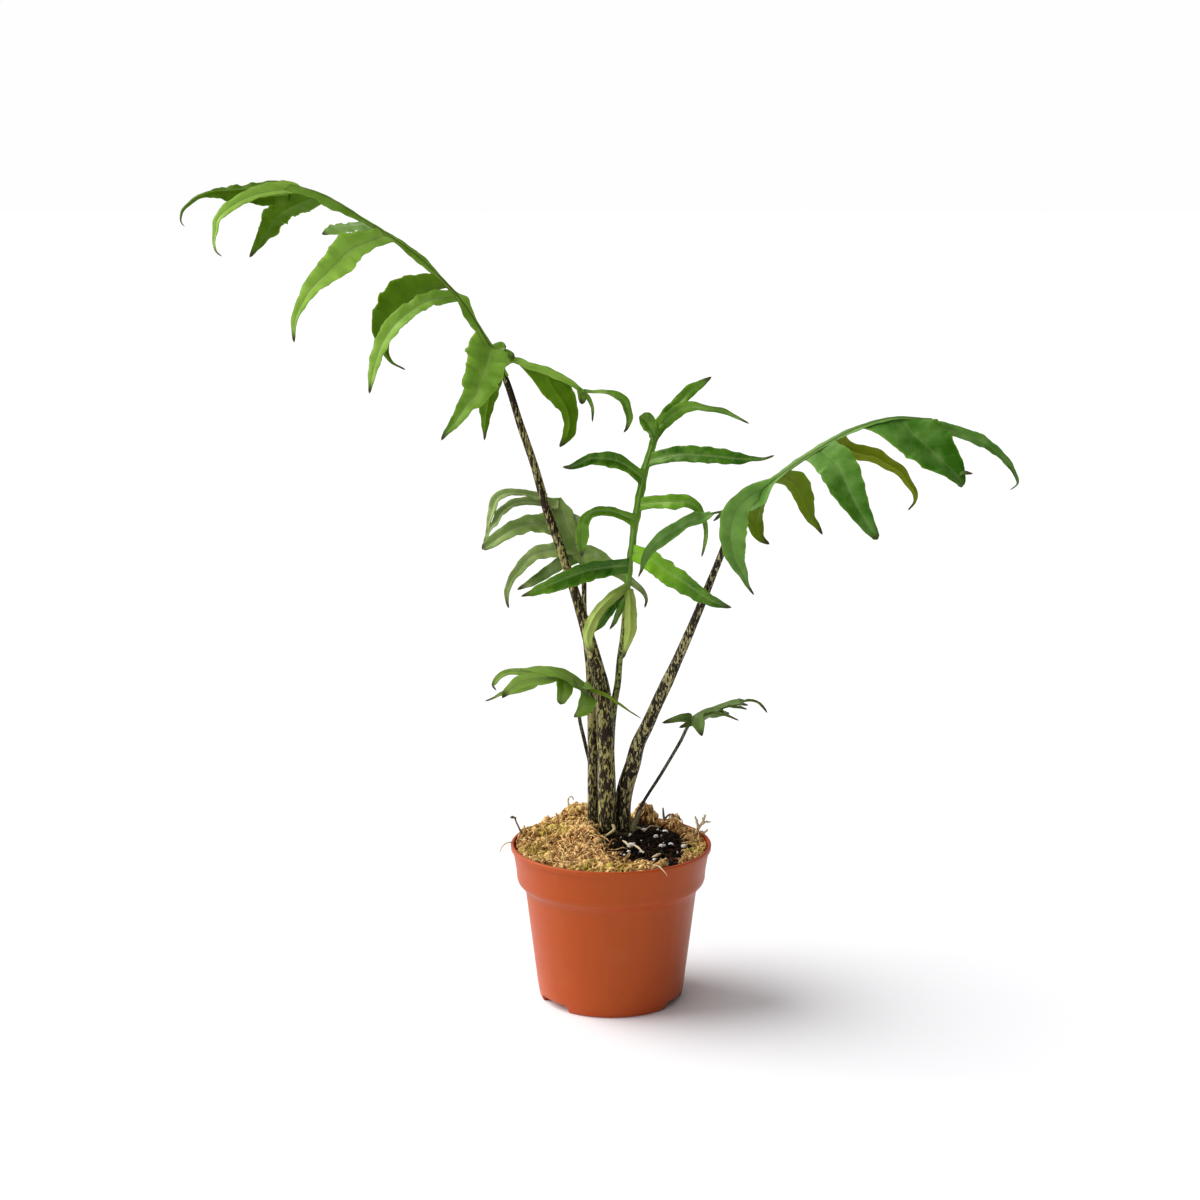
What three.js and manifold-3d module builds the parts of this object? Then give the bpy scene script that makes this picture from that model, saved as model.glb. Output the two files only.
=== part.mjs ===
// A potted jewel-leaf aroid: six mottled leaf stalks rise from a short stem in
// peat and sphagnum moss, each ends in a blade cut into long lobes, and all of it
// stands in a round nursery pot.
// Millimetres, +Z up. The origin is the middle of the pot's underside, -Y is the
// front. The longest leaf reaches left, the second longest right.
import * as THREE from 'three';
import { mergeVertices } from 'three/addons/utils/BufferGeometryUtils.js';
import Module from 'manifold-3d';

const wasm = await Module();
wasm.setup();

// Driving dimensions
const gap = 0.3; // between pieces that rest on each other
const bladeThickness = 0.9;
const bladeFold = 0.18; // how far a lobe's margins rise for their distance from the midrib
const bladeStart = 1.5; // from the joint to where the blade's strips begin
const webReach = 9; // how soon a long lobe is free of the rib
const webShare = 0.25; // the share of its length in which a short one is
const rollShare = 0.3; // the share of its length in which a lobe's roll sets in
const linkRadius = 0.8; // a bar that joins a lobe's base to the rib beside it
const pot = {
  rimRadius: 60, height: 95, footRadius: 42.5, wall: 1.6, floorTop: 5.5,
  stepRadius: 51, stepFoot: 65, collarRadius: 56.2, collarFoot: 74,
  padRadius: 17, channelHeight: 3.5, footWidth: 6,
  notches: 3, notchHeight: 4.5, notchAngle: 34, firstNotch: 66,
  drainHoles: 6, drainRadius: 3.5, drainCircle: 26,
};
const soil = { edgeHeight: 89, crownHeight: 98.3, reach: 46 };
const shoulder = { x: 34, y: -38, height: 3, reach: 14 };
const crown = { x: 1, y: 14, halfWidth: 17, halfDepth: 15, top: 99.5, depth: 34 };
const moss = { thickness: 4.5, edge: 1.5, lumps: 0.9, reach: 56.2 };
const grainRadius = 1.75; // perlite

// How finely the curved pieces are faceted
const facets = { pot: 40, drill: 8, mix: 32, mixRings: 5, mat: 36, matRings: 5, stem: 20 };
const lobeStep = 12;
const sprigSteps = 5;

const colours = {
  terracotta: 0xb8582f, peat: 0x1d1713, moss: 0xb0925a, straw: 0xa08453, perlite: 0xe6e2d8,
  mottled: 0x5d5a3c, leaf: 0x4e8a2e, paleLeaf: 0x6c8f4c, stem: 0x6b6242, sheath: 0x5c5534,
};

// Six leaves. A stalk row is x, y, z and radius; the blade starts at row `joint`
// and its rib is the rest of the stalk. A wing row is a distance along the rib and
// the blade's width there on either side. A lobe row is x, y, z and the half width
// towards the blade's base, and after it that towards the tip where it differs.
// root is how far a lobe's base runs along the rib each way, and web how soon the
// lobe is free of it. side is where its far margin lies at the start. roll turns it
// about its midrib, in degrees, from base to tip. up is the side that the upper
// face looks to, and shows the face of a lobe that is in front.
const leaves = [
  {
    name: 'left', up: [0.1, -1, 0.8], joint: 11,
    wing: [[0, 2, 2], [20, 3, 2], [27, 2.5, 1.5], [36, 4.5, 1.2], [46, 4, 3.2], [51, 3, 4],
      [57, 1.5, 1.2], [66, 1.5, 1], [80, 3, 2.2], [86, 4, 2.4], [96, 2.6, 2.2], [113, 1.5, 1.3],
      [126, 2.5, 1.2], [138, 5.5, 1], [148, 6.5, 1], [158, 5, 0.8], [170, 5, 0.6], [180, 3, 0.6]],
    backWing: [[0, 1, 1], [10, 2, 2], [35, 2.4, 2.4], [52, 1, 1]],
    stalk: [
      [-2.5, 5, 99.8, 5.5], [-2.5, 6, 131, 5.3], [-3.5, 8, 160, 5], [-5, 9, 185, 4.7],
      [-9, 10, 202, 4.2], [-14, 11, 220, 3.6], [-23, 12, 250, 2.8], [-30, 12, 272, 2.6],
      [-38, 13, 295, 2.6], [-45, 14, 320, 2.4], [-53, 14, 344, 2.2], [-62, 15, 372, 1.9],
      [-73, 13, 394, 1.8], [-88, 10, 418, 1.7], [-99, 8, 430, 1.6], [-109, 6, 440, 1.5],
      [-126, 3, 453, 1.5], [-140, 1, 462, 1.4], [-160, -4, 475, 1.3], [-175, -7, 481, 1.2],
      [-192, -10, 484, 1],
    ],
    back: [[-62, 15, 379, 1.3], [-57, 13, 382, 1.2], [-47, 9, 379, 1.1], [-34, 6, 375, 1],
      [-24, 4, 370, 1], [-16, 2, 365, 1]],
    lobes: {
      near_1: { root: [14, 9], web: 3.5, side: [-1, 0, 0.2], rows: [[-69, 14, 391, 8, 12],
        [-71, 8, 385, 12, 13.5], [-73, 2, 378, 11, 11], [-76, -2, 371, 11, 9.5], [-78, -5, 364, 8, 8],
        [-83, -7, 359, 5.5, 5], [-89, -8, 350, 4, 3], [-95, -8, 343, 2, 1.2], [-98, -8, 338, 0.5]] },
      ear: { end: true, rows: [[-67, 13, 387, 3.5], [-64, 12, 389, 4], [-61, 11, 390, 3]] },
      ear_2: { end: true, rows: [[-65, 12, 385, 3.5], [-60, 11, 385, 3], [-56, 11, 384, 1.5]] },
      far_1: { root: 3, shows: 'lower', rows: [[-66, 17, 380, 4, 5], [-70, 24, 365, 4.5, 8],
        [-73, 28, 350, 2.5, 5], [-75, 30, 333, 0.5]] },
      near_2: { root: 3, roll: [40, 40], rows: [[-91, 9, 419, 3.5], [-103, 1, 418, 5],
        [-113, -6, 413, 6], [-123, -11, 405, 6], [-130, -15, 395, 4.5], [-135, -16, 382, 3],
        [-138, -17, 366, 0.5]] },
      far_2: { root: [4, 8], shows: 'lower', rows: [[-97, 9, 427, 3, 4.5], [-108, 14, 424, 4.5, 8.5],
        [-118, 20, 418, 7.5, 12.5], [-125, 23, 410, 9.5, 12.5], [-132, 26, 400, 7, 8.5],
        [-133, 24, 390, 3], [-129, 21, 381, 0.9], [-120, 18, 376, 0.4]] },
      near_3: { root: [6, 8], rows: [[-128, 2, 455, 5, 4.5], [-139, -8, 451, 5.5, 6.5],
        [-148, -14, 447, 8, 9.5], [-154, -19, 441, 9, 8], [-161, -23, 434, 6.5, 6.5],
        [-168, -26, 427, 4.5, 5], [-174, -27, 418, 3], [-178, -28, 409, 1.5, 2], [-179, -27, 399, 0.8],
        [-179, -26, 396, 0.4]] },
      far_3: { root: 3, rows: [[-140, 4, 460, 5], [-146, 12, 459.5, 4.5], [-151, 20, 459, 3, 4],
        [-160, 34, 456, 3, 5], [-170, 44, 453, 0.5]] },
      near_4: { root: 4, rows: [[-172, -6, 480, 3, 4], [-181, -10, 479.5, 3, 5.5],
        [-189, -15, 478.5, 3, 5.5], [-198, -20, 477, 3, 4.5], [-205, -24, 475, 3, 3.5],
        [-212, -27, 472, 3], [-217, -28, 468, 2.5], [-220, -29, 464, 2], [-221, -29, 458, 1.5],
        [-222, -29, 452, 1], [-221, -28, 447, 0.7], [-218, -27, 444, 0.4]] },
      far_4: { root: [8, 16], shows: 'lower', rows: [[-168, -3, 477, 5.5], [-177, 2, 473, 9, 6],
        [-186, 7, 469, 8, 7.5], [-193, 11, 464, 8.5, 7], [-198, 14, 457, 7, 4.5],
        [-203, 16, 450, 3.5, 2.5], [-209, 18, 441, 0.5]] },
      web_4: { end: true, shows: 'lower', rows: [[-183, 0, 477, 3], [-192, 2, 476, 5],
        [-200, 0, 476, 4.5], [-208, -4, 477, 3]] },
      tip: { end: true, shows: 'lower', rows: [[-182, -8, 484.5, 1.5], [-192, -10, 484.5, 3, 2.5],
        [-201, -12, 481.5, 6, 5], [-209, -14, 480, 6.5, 4.5], [-217, -15, 479.5, 5.5, 4.5],
        [-224, -16, 479, 3, 2.5], [-231, -17, 477, 1.5, 2], [-237, -18, 474, 1.5],
        [-243, -18, 469, 1.5], [-244, -18, 463, 1.2], [-240, -17, 460, 0.4]] },
      basal_1: { onBack: true, root: [18, 12], shows: 'lower', rows: [[-38, 6, 374, 8],
        [-32, 4, 365, 7, 9], [-26, 2, 356, 4.5, 6.5], [-24, 1, 348, 3.5, 4], [-25, 0, 341, 3, 3.5],
        [-30, 0, 333, 0.5]] },
      nub: { end: true, rows: [[-18, 2, 366, 2], [-17, 1, 361, 2.2], [-17, 0, 358, 1]] },
      basal_2: { onBack: true, root: 1, rows: [[-16, 1, 365, 1.5], [-13, -1, 361, 1.2],
        [-11, -2, 356, 0.9], [-11, -3, 348, 0.4]] },
      basal_3: { onBack: true, end: true, rows: [[-16, 2, 365, 1.2], [-10, 1, 365, 1],
        [-4, 0, 365, 1.5, 1.2], [3, -1, 363, 2.5, 2], [7, -2, 360, 3, 2.5], [9, -3, 355, 2.5, 2],
        [10, -4, 350, 2, 1.5], [9, -4, 345, 1], [7, -4, 342, 0.4]] },
    },
  },
  {
    name: 'right', up: [-0.3, -0.6, 1], joint: 11,
    wing: [[0, 2, 4], [10, 2, 10.5], [20, 2.2, 11], [27, 2.6, 4], [60, 2.6, 2], [75, 2.2, 3],
      [90, 1.5, 3], [115, 1, 2]],
    stalk: [
      [7, 13, 99.8, 5.2], [7, 13, 114, 5], [9, 11, 127, 4.9], [13, 8, 141, 4.6], [16, 5, 154, 4.2],
      [22, 1, 168, 3.9], [27, -3, 181, 3.7], [33, -6, 195, 3.5], [40, -10, 212, 3], [50, -16, 238, 2.5],
      [60, -20, 265, 2.1], [73, -25, 298, 1.7], [83, -26, 309, 1.6], [98, -28, 322, 1.5],
      [115, -28, 334, 1.4], [134, -27, 345, 1.3], [147, -26, 350, 1.2], [161, -25, 353, 1.1],
      [182, -25, 352, 1],
    ],
    back: [[76, -25, 301, 1.2], [69, -27, 301, 1], [63, -29, 300, 0.9], [56, -31, 299, 0.8]],
    lobes: {
      near_1: { root: [5, 10], web: 6, side: [-0.7, 0, 0.7], rows: [[86, -27, 313, 5],
        [80, -31, 310, 4.5, 5.5], [73, -36, 305, 6, 6], [69, -40, 299, 8.5, 7.5],
        [67, -43, 291, 9, 6.5], [68, -45, 282, 7.5, 6], [70, -45, 274, 5.5, 4], [74, -44, 267, 3, 2.5],
        [77, -43, 260, 1.2], [81, -42, 254, 0.4]] },
      far_1: { root: [3, 8], shows: 'lower', rows: [[86, -24, 309, 6], [85, -16, 301, 6.5, 5.5],
        [84, -10, 293, 6, 4.5], [85, -8, 287, 5, 4], [87, -7, 281, 2.5, 2], [92, -6, 277, 0.5]] },
      far_2: { root: [7, 3], shows: 'lower', rows: [[98, -26, 320, 4, 6], [105, -19, 314, 4.5, 8],
        [110, -13, 306, 4.5, 6.5], [113, -9, 298, 3.5, 5], [116, -6, 292, 2.5], [120, -3, 287, 1.5],
        [123, -2, 282, 0.5]] },
      near_2: { root: [9, 11], rows: [[118, -30, 335, 8.5, 8.5], [127, -38, 328, 11, 10.5],
        [133, -43, 316, 9.5], [139, -46, 304, 6, 6.5], [145, -47, 294, 3.5, 4], [150, -47, 287, 1.5]] },
      far_3: { root: 3, shows: 'lower', rows: [[129, -24, 342, 3.5], [135, -21, 335, 4],
        [143, -19, 332, 4.5], [151, -17, 330, 4, 4.5], [159, -15, 325, 3.5], [166, -13, 321, 3],
        [171, -12, 314, 2], [175, -12, 308, 1.5], [175, -12, 303, 0.8], [171, -13, 298, 0.4]] },
      near_3: { root: [22, 8], rows: [[164, -26, 351, 14, 3], [170, -31, 345, 15, 11.5],
        [177, -35, 339, 13.5, 15.5], [184, -38, 332, 11, 13], [191, -41, 326, 7.5, 9],
        [196, -43, 320, 4.5, 4], [197, -43, 316, 1.5]] },
      barb: { end: true, rows: [[196, -42, 323, 1.5], [199, -43, 324, 1.5], [203, -44, 324, 0.4]] },
      tip: { end: true, rows: [[180, -25, 350, 2.5], [189, -26, 347, 4.5], [199, -26, 344, 4.5, 5],
        [209, -27, 340, 5], [217, -28, 335, 3.5, 3], [225, -28, 329, 2.5], [231, -28, 322, 1.5],
        [233.5, -28, 316, 1.2], [227, -27, 312, 0.5]] },
      basal_1: { onBack: true, end: true, roll: [-90, -90], rows: [[57, -31, 299, 2],
        [53, -33, 297, 2.5, 4], [44, -36, 295, 2.5, 5], [36, -40, 291, 3.5, 5.5],
        [29, -43, 287, 4, 5.5], [23, -45, 282, 3, 4], [19, -46, 276, 2, 3], [17, -46, 270, 1.2],
        [15, -46, 265, 0.4]] },
      barb_2: { end: true, rows: [[63, -30, 298, 1.5], [61, -31, 297, 1.2], [58, -32, 295, 0.4]] },
    },
  },
  {
    name: 'middle', up: [0, -1, 0.3], joint: 8,
    wing: [[0, 1.5, 1.5], [12, 2, 2], [30, 2, 2], [50, 2.4, 2.4], [100, 2.2, 2.2]],
    stalk: [
      [-1, 24, 99.8, 3.2], [-1, 23, 129, 3], [0, 20, 160, 2.6], [2, 14, 178, 2.2], [4, 9, 191, 2],
      [5, 5, 205, 1.9], [7, 1, 221, 1.8], [8, -3, 236, 1.7], [9, -6, 245, 1.6], [10, -8, 259, 1.6],
      [12, -9, 277, 1.5], [14, -9, 292, 1.4], [16, -8, 303, 1.3], [19, -6, 319, 1.2],
      [24, -2, 335, 1.1], [28, 3, 346, 1],
    ],
    lobes: {
      tip: { end: true, rows: [[24, -2, 337, 1.2], [28, 2, 346, 3], [33, 5, 352, 3.5, 3],
        [40, 6, 359, 3.5, 3], [46, 7, 365, 3.5, 3], [52, 8, 369, 2], [58, 8, 373, 0.5]] },
      top_right: { end: true, rows: [[24, -2, 336, 1.2], [29, 2, 345, 3], [36, 1, 352, 3.5],
        [42, -1, 356, 3.5, 3], [49, -3, 357, 2.5, 2], [56, -5, 356, 1.5], [64, -7, 355, 1.5],
        [71, -9, 352, 0.9], [79, -10, 348, 0.4]] },
      top_left: { rows: [[26, 0, 338, 3.5, 3], [23, -3, 344, 4.5, 5], [20, -7, 349, 5],
        [16, -11, 352, 3]] },
      right_1: { root: 4, rows: [[22, -4, 326, 4], [30, -8, 328.5, 4], [39, -11, 330.5, 4.5],
        [51, -15, 330.5, 4.8], [62, -18, 330, 4.5], [72, -20, 329, 3.5], [80, -20, 329, 1.5],
        [87, -20, 329, 0.8], [93, -20, 331, 0.4]] },
      left_1: { root: 4, rows: [[18, -7, 316, 4], [12, -10, 321, 3], [7, -13, 325, 3.5],
        [0, -16, 328, 4.5], [-7, -19, 329, 3.5], [-13, -22, 329, 3], [-20, -24, 326, 2],
        [-24, -25, 325, 1.2], [-28, -25, 325, 0.4]] },
      right_2: { root: 3.5, rows: [[17, -8, 301, 4], [23, -12, 302.5, 3.5], [30, -15, 303.5, 3.8, 3.5],
        [37, -18, 304, 4.5, 4], [44, -20, 304, 3, 3.5], [49, -22, 301, 2.5], [52, -22, 296, 1.5],
        [54, -22, 290, 1.2], [54, -21, 282, 1], [52, -20, 272, 0.4]] },
      left_2: { root: 4, rows: [[14, -9, 291, 3.5], [7, -13, 295, 2.5], [0, -17, 298, 2.5],
        [-7, -21, 299, 2.5], [-12, -25, 298, 2.5], [-16, -28, 294, 3.5], [-17, -28, 288, 4],
        [-17, -28, 282, 3.5], [-17, -27, 276, 1.5], [-17, -27, 273, 0.5]] },
      right_3: { root: 4, rows: [[12, -9, 273, 4], [22, -15, 270, 6, 5.5], [33, -20, 263, 6.8, 6.5],
        [42, -24, 258, 6.5, 6], [51, -27, 252, 5, 4.5], [60, -28, 247, 2.8], [69, -29, 244, 0.4]] },
      left_3: { root: 4, rows: [[11, -9, 265, 4], [-3, -16, 265, 5, 4.5], [-15, -22, 264, 6, 5],
        [-28, -26, 260, 5.5, 4.5], [-39, -29, 256, 4, 3.5], [-52, -31, 251, 0.4]] },
      low_1: { root: 2, roll: [50, 60], rows: [[9, -9, 252, 3], [0, -16, 247, 3], [-7, -21, 241, 3],
        [-11, -24, 235, 3.5], [-14, -25, 225, 3], [-11, -24, 216, 1]] },
      low_2: { roll: [30, 30], rows: [[8, -7, 251, 3], [2, -10, 245, 3.5], [-3, -12, 238, 3.5],
        [-7, -13, 232, 3], [-11, -13, 226, 0.5]] },
      low_3: { roll: [30, 30], rows: [[9, -8, 248, 1.5], [5, -11, 240, 2], [2, -13, 233, 1.5],
        [-1, -14, 228, 0.5]] },
      low_4: { end: true, rows: [[10, -8, 251, 2.5], [11, -14, 244, 3], [11, -17, 236, 3.5],
        [11, -19, 228, 3, 3.5], [9, -20, 220, 1.5, 2], [7, -19, 212, 0.5]] },
    },
  },
  {
    name: 'back', up: [0, -0.7, 1], joint: 7,
    wing: [[0, 2, 2], [8, 6, 5], [20, 10, 6], [30, 12, 6], [40, 8, 6]],
    stalk: [
      [-11, 19, 99.8, 3.3], [-11, 19, 128, 3.2], [-11, 21, 155, 3], [-12, 23, 177, 2.6],
      [-13, 25, 195, 2.2], [-15, 27, 213, 1.9], [-16, 29, 231, 1.6], [-17, 32, 258, 1.5],
      [-21, 36, 268, 1.5], [-26, 41, 277, 1.4], [-30, 46, 287, 1.2], [-35, 49, 293, 1],
    ],
    lobes: {
      left_1: { end: true, rows: [[-32, 47, 291, 5], [-39, 46, 293, 4], [-46, 45, 294, 3.5],
        [-55, 43, 294, 3], [-61, 41, 292, 3], [-66, 39, 288, 3], [-69, 37, 283, 2.5],
        [-72, 36, 279, 1.5], [-75, 34, 273, 1.2], [-76, 33, 268, 0.5]] },
      left_0: { end: true, rows: [[-39, 45, 295, 4], [-44, 44, 297, 3.5], [-50, 43, 299, 2.5],
        [-58, 42, 300, 2.5], [-65, 41, 299, 3], [-69, 40, 296, 3], [-71, 39, 290, 2.5],
        [-73, 38, 283, 1.5], [-75, 37, 273, 0.6]] },
      left_2: { root: [9, 8], rows: [[-27, 43, 279, 8.5, 7], [-39, 40, 281, 6.5],
        [-48, 37, 282, 5.5, 5], [-57, 34, 280, 5.5, 4.5], [-65, 31, 276, 4.5, 4], [-72, 30, 271, 3.5],
        [-77, 29, 268, 1.5]] },
      left_3: { root: 8, rows: [[-22, 37, 270, 7, 6], [-35, 31, 267, 5.5, 4], [-43, 29, 266, 4.5, 4],
        [-49, 27, 263, 4, 3], [-54, 26, 257, 3], [-59, 25, 251, 2], [-62, 24, 243, 1.5],
        [-62, 24, 237, 0.9], [-61, 24, 233, 0.5]] },
      left_4: { rows: [[-19, 34, 265, 5.5], [-32, 29, 258, 3.5], [-40, 27, 253, 3],
        [-47, 25, 249, 2.5, 2], [-56, 25, 244, 0.5]] },
      right_1: { rows: [[-18, 33, 264, 5.5], [-11, 28, 265, 5.5, 5], [-2, 25, 260, 4.5, 4],
        [5, 23, 255, 3.5, 3], [13, 21, 249, 2], [19, 20, 244, 1.5, 1.2], [21, 20, 239, 0.8],
        [20, 20, 234, 0.5]] },
      right_2: { rows: [[-23, 40, 273, 6, 5.5], [-20, 50, 278, 6, 7], [-21, 58, 281, 5, 6.5],
        [-22, 66, 283, 2, 2.5]] },
    },
  },
  {
    name: 'low_left', up: [0.1, -0.5, 1], joint: 6,
    wing: [[0, 6, 3], [10, 9, 3.5], [22, 8, 3], [34, 5, 2], [41, 1.5, 1]],
    stalk: [
      [-6, 26, 99.8, 1.4], [-9, 25, 121, 1.1], [-13, 25, 138, 1.1], [-16, 22, 152, 1.1],
      [-19, 15, 169, 1.1], [-18, 9, 180, 1.1], [-16, 5, 188, 1.1], [-23, 2, 195, 1.2],
      [-32, -1, 200, 1.1], [-44, -4, 202, 0.9], [-52, -6, 202, 0.7],
    ],
    lobes: {
      tip: { end: true, roll: [-60, -60], rows: [[-31, -1, 196, 3.5], [-41, -4, 197, 4],
        [-48, -6, 196.5, 4], [-54, -7, 195, 3.8], [-58, -8, 192, 3.2], [-62, -9, 189, 2],
        [-64, -10, 186, 0.5]] },
      far_1: { end: true, roll: [-60, -60], rows: [[-44, -3, 200, 2], [-54, -1, 200, 1.8],
        [-61, 2, 199, 1.6], [-66, 4, 196, 1.6], [-69, 5, 192, 1.4], [-70, 5, 190, 0.8],
        [-68, 5, 187, 0.5]] },
      far_2: { end: true, roll: [-60, -60], rows: [[-39, 2, 196, 2.8], [-48, 4, 191, 2.8],
        [-61, 6, 186, 1.7], [-65, 6, 185, 1.1], [-70, 7, 182, 0.6], [-75, 7, 180, 0.4]] },
      near_1: { root: 5, rows: [[-28, -1, 196, 5.5], [-28, -6, 190, 5, 4.5], [-30, -9, 182, 2]] },
      near_2: { root: 6, rows: [[-19, 4, 189, 8], [-15, -4, 184, 8], [-17, -7, 179, 6],
        [-22, -8, 174, 1]] },
      basal: { end: true, roll: [-60, -60], rows: [[-17, 4, 190, 3], [-11, 1, 188, 2.8],
        [-2, -2, 185, 2.2], [5, -5, 181, 1.6], [11, -6, 177, 1.1], [18, -8, 173, 0.4]] },
    },
  },
  {
    name: 'low_right', up: [0, -0.6, 1], joint: 5,
    wing: [[0, 2, 3], [10, 2, 4], [30, 2, 3]],
    stalk: [
      [15, 14, 99.8, 1.6], [15, 14, 104, 1.5], [19, 13, 115, 1], [30, 8, 135, 1], [41, 3, 156, 1],
      [47, -1, 169, 1], [53, -2, 174, 1], [62, -3, 178, 0.9], [70, -4, 181, 0.8], [76, -5, 183, 0.7],
    ],
    lobes: {
      tip: { end: true, roll: [-60, -60], rows: [[75, -5, 182, 2.6], [81, -6, 183.5, 1.8, 2],
        [86, -6, 182.5, 1.5], [89, -6, 180, 1.1], [92, -6, 176, 0.5]] },
      basal_1: { end: true, roll: [-60, -60], rows: [[48, -1, 171.5, 3], [42, -5, 173, 2.2],
        [36, -7, 172, 1.5], [30, -8, 170.5, 0.5]] },
      basal_2: { end: true, roll: [-60, -60], rows: [[48, -1, 170, 2.5], [45, -7, 169.5, 1.5],
        [40, -9, 168, 0.5]] },
      near_1: { rows: [[51, -2, 173, 4.5], [52, -8, 169, 3.5], [53.5, -10, 163, 0.6]] },
      near_2: { roll: [40, 40], rows: [[60, -3, 175, 6], [66, -9, 176, 3.5], [75, -12, 173, 0.8]] },
      near_3: { roll: [40, 40], rows: [[69, -4, 179, 5], [75, -8, 180, 3], [80, -9, 179, 0.8]] },
      far_1: { roll: [20, 20], rows: [[55, -2, 174, 4.5], [60, 8, 173, 4], [65, 14, 171, 3],
        [71, 20, 169, 0.8]] },
      far_2: { roll: [20, 20], rows: [[65, -3, 180, 3], [72, 5, 179, 2.5], [77, 10, 178, 1.5],
        [82, 13, 176, 0.5]] },
    },
  },
];

const vector = ([x, y, z]) => new THREE.Vector3(x, y, z);
const front = vector([0, -1, 0.2]); // roughly where the plant is seen from
const clamp01 = (t) => Math.min(1, Math.max(0, t));
const smooth = (t) => clamp01(t) ** 2 * (3 - 2 * clamp01(t));

// A smooth path through rows of x, y, z and one or two sizes. at(t) gives the
// point, the direction and both sizes, with t running from 0 to 1 by length.
function pathThrough(rows) {
  const curve = new THREE.CatmullRomCurve3(rows.map(vector), false, 'centripetal');
  const lengths = curve.getLengths(400);
  const marks = rows.map((row, i) => lengths[Math.round(i * 400 / (rows.length - 1))]);
  const total = marks[marks.length - 1];
  const at = (t) => {
    const reach = clamp01(t) * total;
    const k = Math.max(1, marks.findIndex((mark) => mark >= reach - 1e-6));
    const part = smooth((reach - marks[k - 1]) / (marks[k] - marks[k - 1]));
    const between = (column) => {
      const [before, after] = [rows[k - 1], rows[k]].map((row) => row[column] ?? row[3]);
      return before + (after - before) * part;
    };
    return {
      point: curve.getPointAt(clamp01(t)),
      direction: curve.getTangentAt(clamp01(t)),
      size: between(3),
      far: between(4),
    };
  };
  return { at, length: total, markAt: (i) => marks[i] / total };
}

// The share of a path's length that lies nearest to a point.
function nearestOn(path, point, from = 0) {
  let best = from;
  let least = Infinity;
  for (let i = 0; i <= 200; i++) {
    const t = from + (1 - from) * i / 200;
    const away = path.at(t).point.distanceTo(point);
    if (away < least) {
      least = away;
      best = t;
    }
  }
  return best;
}

function geometryFrom(positions, indices) {
  const geometry = new THREE.BufferGeometry();
  geometry.setAttribute('position', new THREE.Float32BufferAttribute(positions, 3));
  geometry.setIndex(indices);
  return geometry;
}

function solid(geometry) {
  const bare = geometry.clone();
  bare.deleteAttribute('normal');
  bare.deleteAttribute('uv');
  const merged = mergeVertices(bare, 1e-4);
  return new wasm.Manifold(new wasm.Mesh({
    numProp: 3,
    vertProperties: new Float32Array(merged.attributes.position.array),
    triVerts: new Uint32Array(merged.index.array),
  }));
}

function geometryOf(manifold) {
  const mesh = manifold.getMesh();
  return geometryFrom(Array.from(mesh.vertProperties), Array.from(mesh.triVerts));
}

// A round bar along part of a path, closed at both ends. grow adds to its radius.
function bar(path, from, to, steps, sides, grow = 0) {
  const positions = [];
  const indices = [];
  let side = new THREE.Vector3(1, 0, 0);
  for (let i = 0; i <= steps; i++) {
    const { point, direction, size } = path.at(from + (to - from) * i / steps);
    side = side.clone().addScaledVector(direction, -side.dot(direction)).normalize();
    const across = new THREE.Vector3().crossVectors(direction, side);
    for (let j = 0; j < sides; j++) {
      const turn = 2 * Math.PI * j / sides;
      const spot = point.clone()
        .addScaledVector(side, Math.cos(turn) * (size + grow))
        .addScaledVector(across, Math.sin(turn) * (size + grow));
      positions.push(spot.x, spot.y, spot.z);
      if (i < steps) {
        const a = i * sides + j;
        const b = i * sides + (j + 1) % sides;
        indices.push(a, b, b + sides, a, b + sides, a + sides);
      }
    }
  }
  for (let j = 1; j < sides - 1; j++) {
    indices.push(0, j + 1, j);
    indices.push(steps * sides, steps * sides + j, steps * sides + j + 1);
  }
  return geometryFrom(positions, indices);
}

// A thin closed sheet from a grid of points and the grid's upward directions.
function sheet(rows, ups, thickness) {
  const positions = [];
  const indices = [];
  const count = rows.length;
  const width = rows[0].length;
  for (const side of [0.5, -0.5]) {
    rows.forEach((row, i) => row.forEach((point, j) => {
      const spot = point.clone().addScaledVector(ups[i][j], side * thickness);
      positions.push(spot.x, spot.y, spot.z);
    }));
  }
  const below = count * width;
  const quad = (a, b, c, d) => indices.push(a, b, c, a, c, d);
  for (let i = 0; i < count - 1; i++) {
    for (let j = 0; j < width - 1; j++) {
      const a = i * width + j;
      quad(a, a + 1, a + 1 + width, a + width);
      quad(a + below, a + below + width, a + below + 1 + width, a + below + 1);
    }
    const left = i * width;
    const right = i * width + width - 1;
    quad(left, left + width, left + width + below, left + below);
    quad(right, right + below, right + width + below, right + width);
  }
  for (let j = 0; j < width - 1; j++) {
    const last = (count - 1) * width + j;
    quad(j, j + below, j + 1 + below, j + 1);
    quad(last, last + 1, last + 1 + below, last + below);
  }
  const built = solid(geometryFrom(positions, indices));
  if (built.volume() > 0) return built;
  const turned = indices.map((_, i) => indices[i - (i % 3) + (2 - (i % 3))]);
  return solid(geometryFrom(positions, turned));
}

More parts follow.
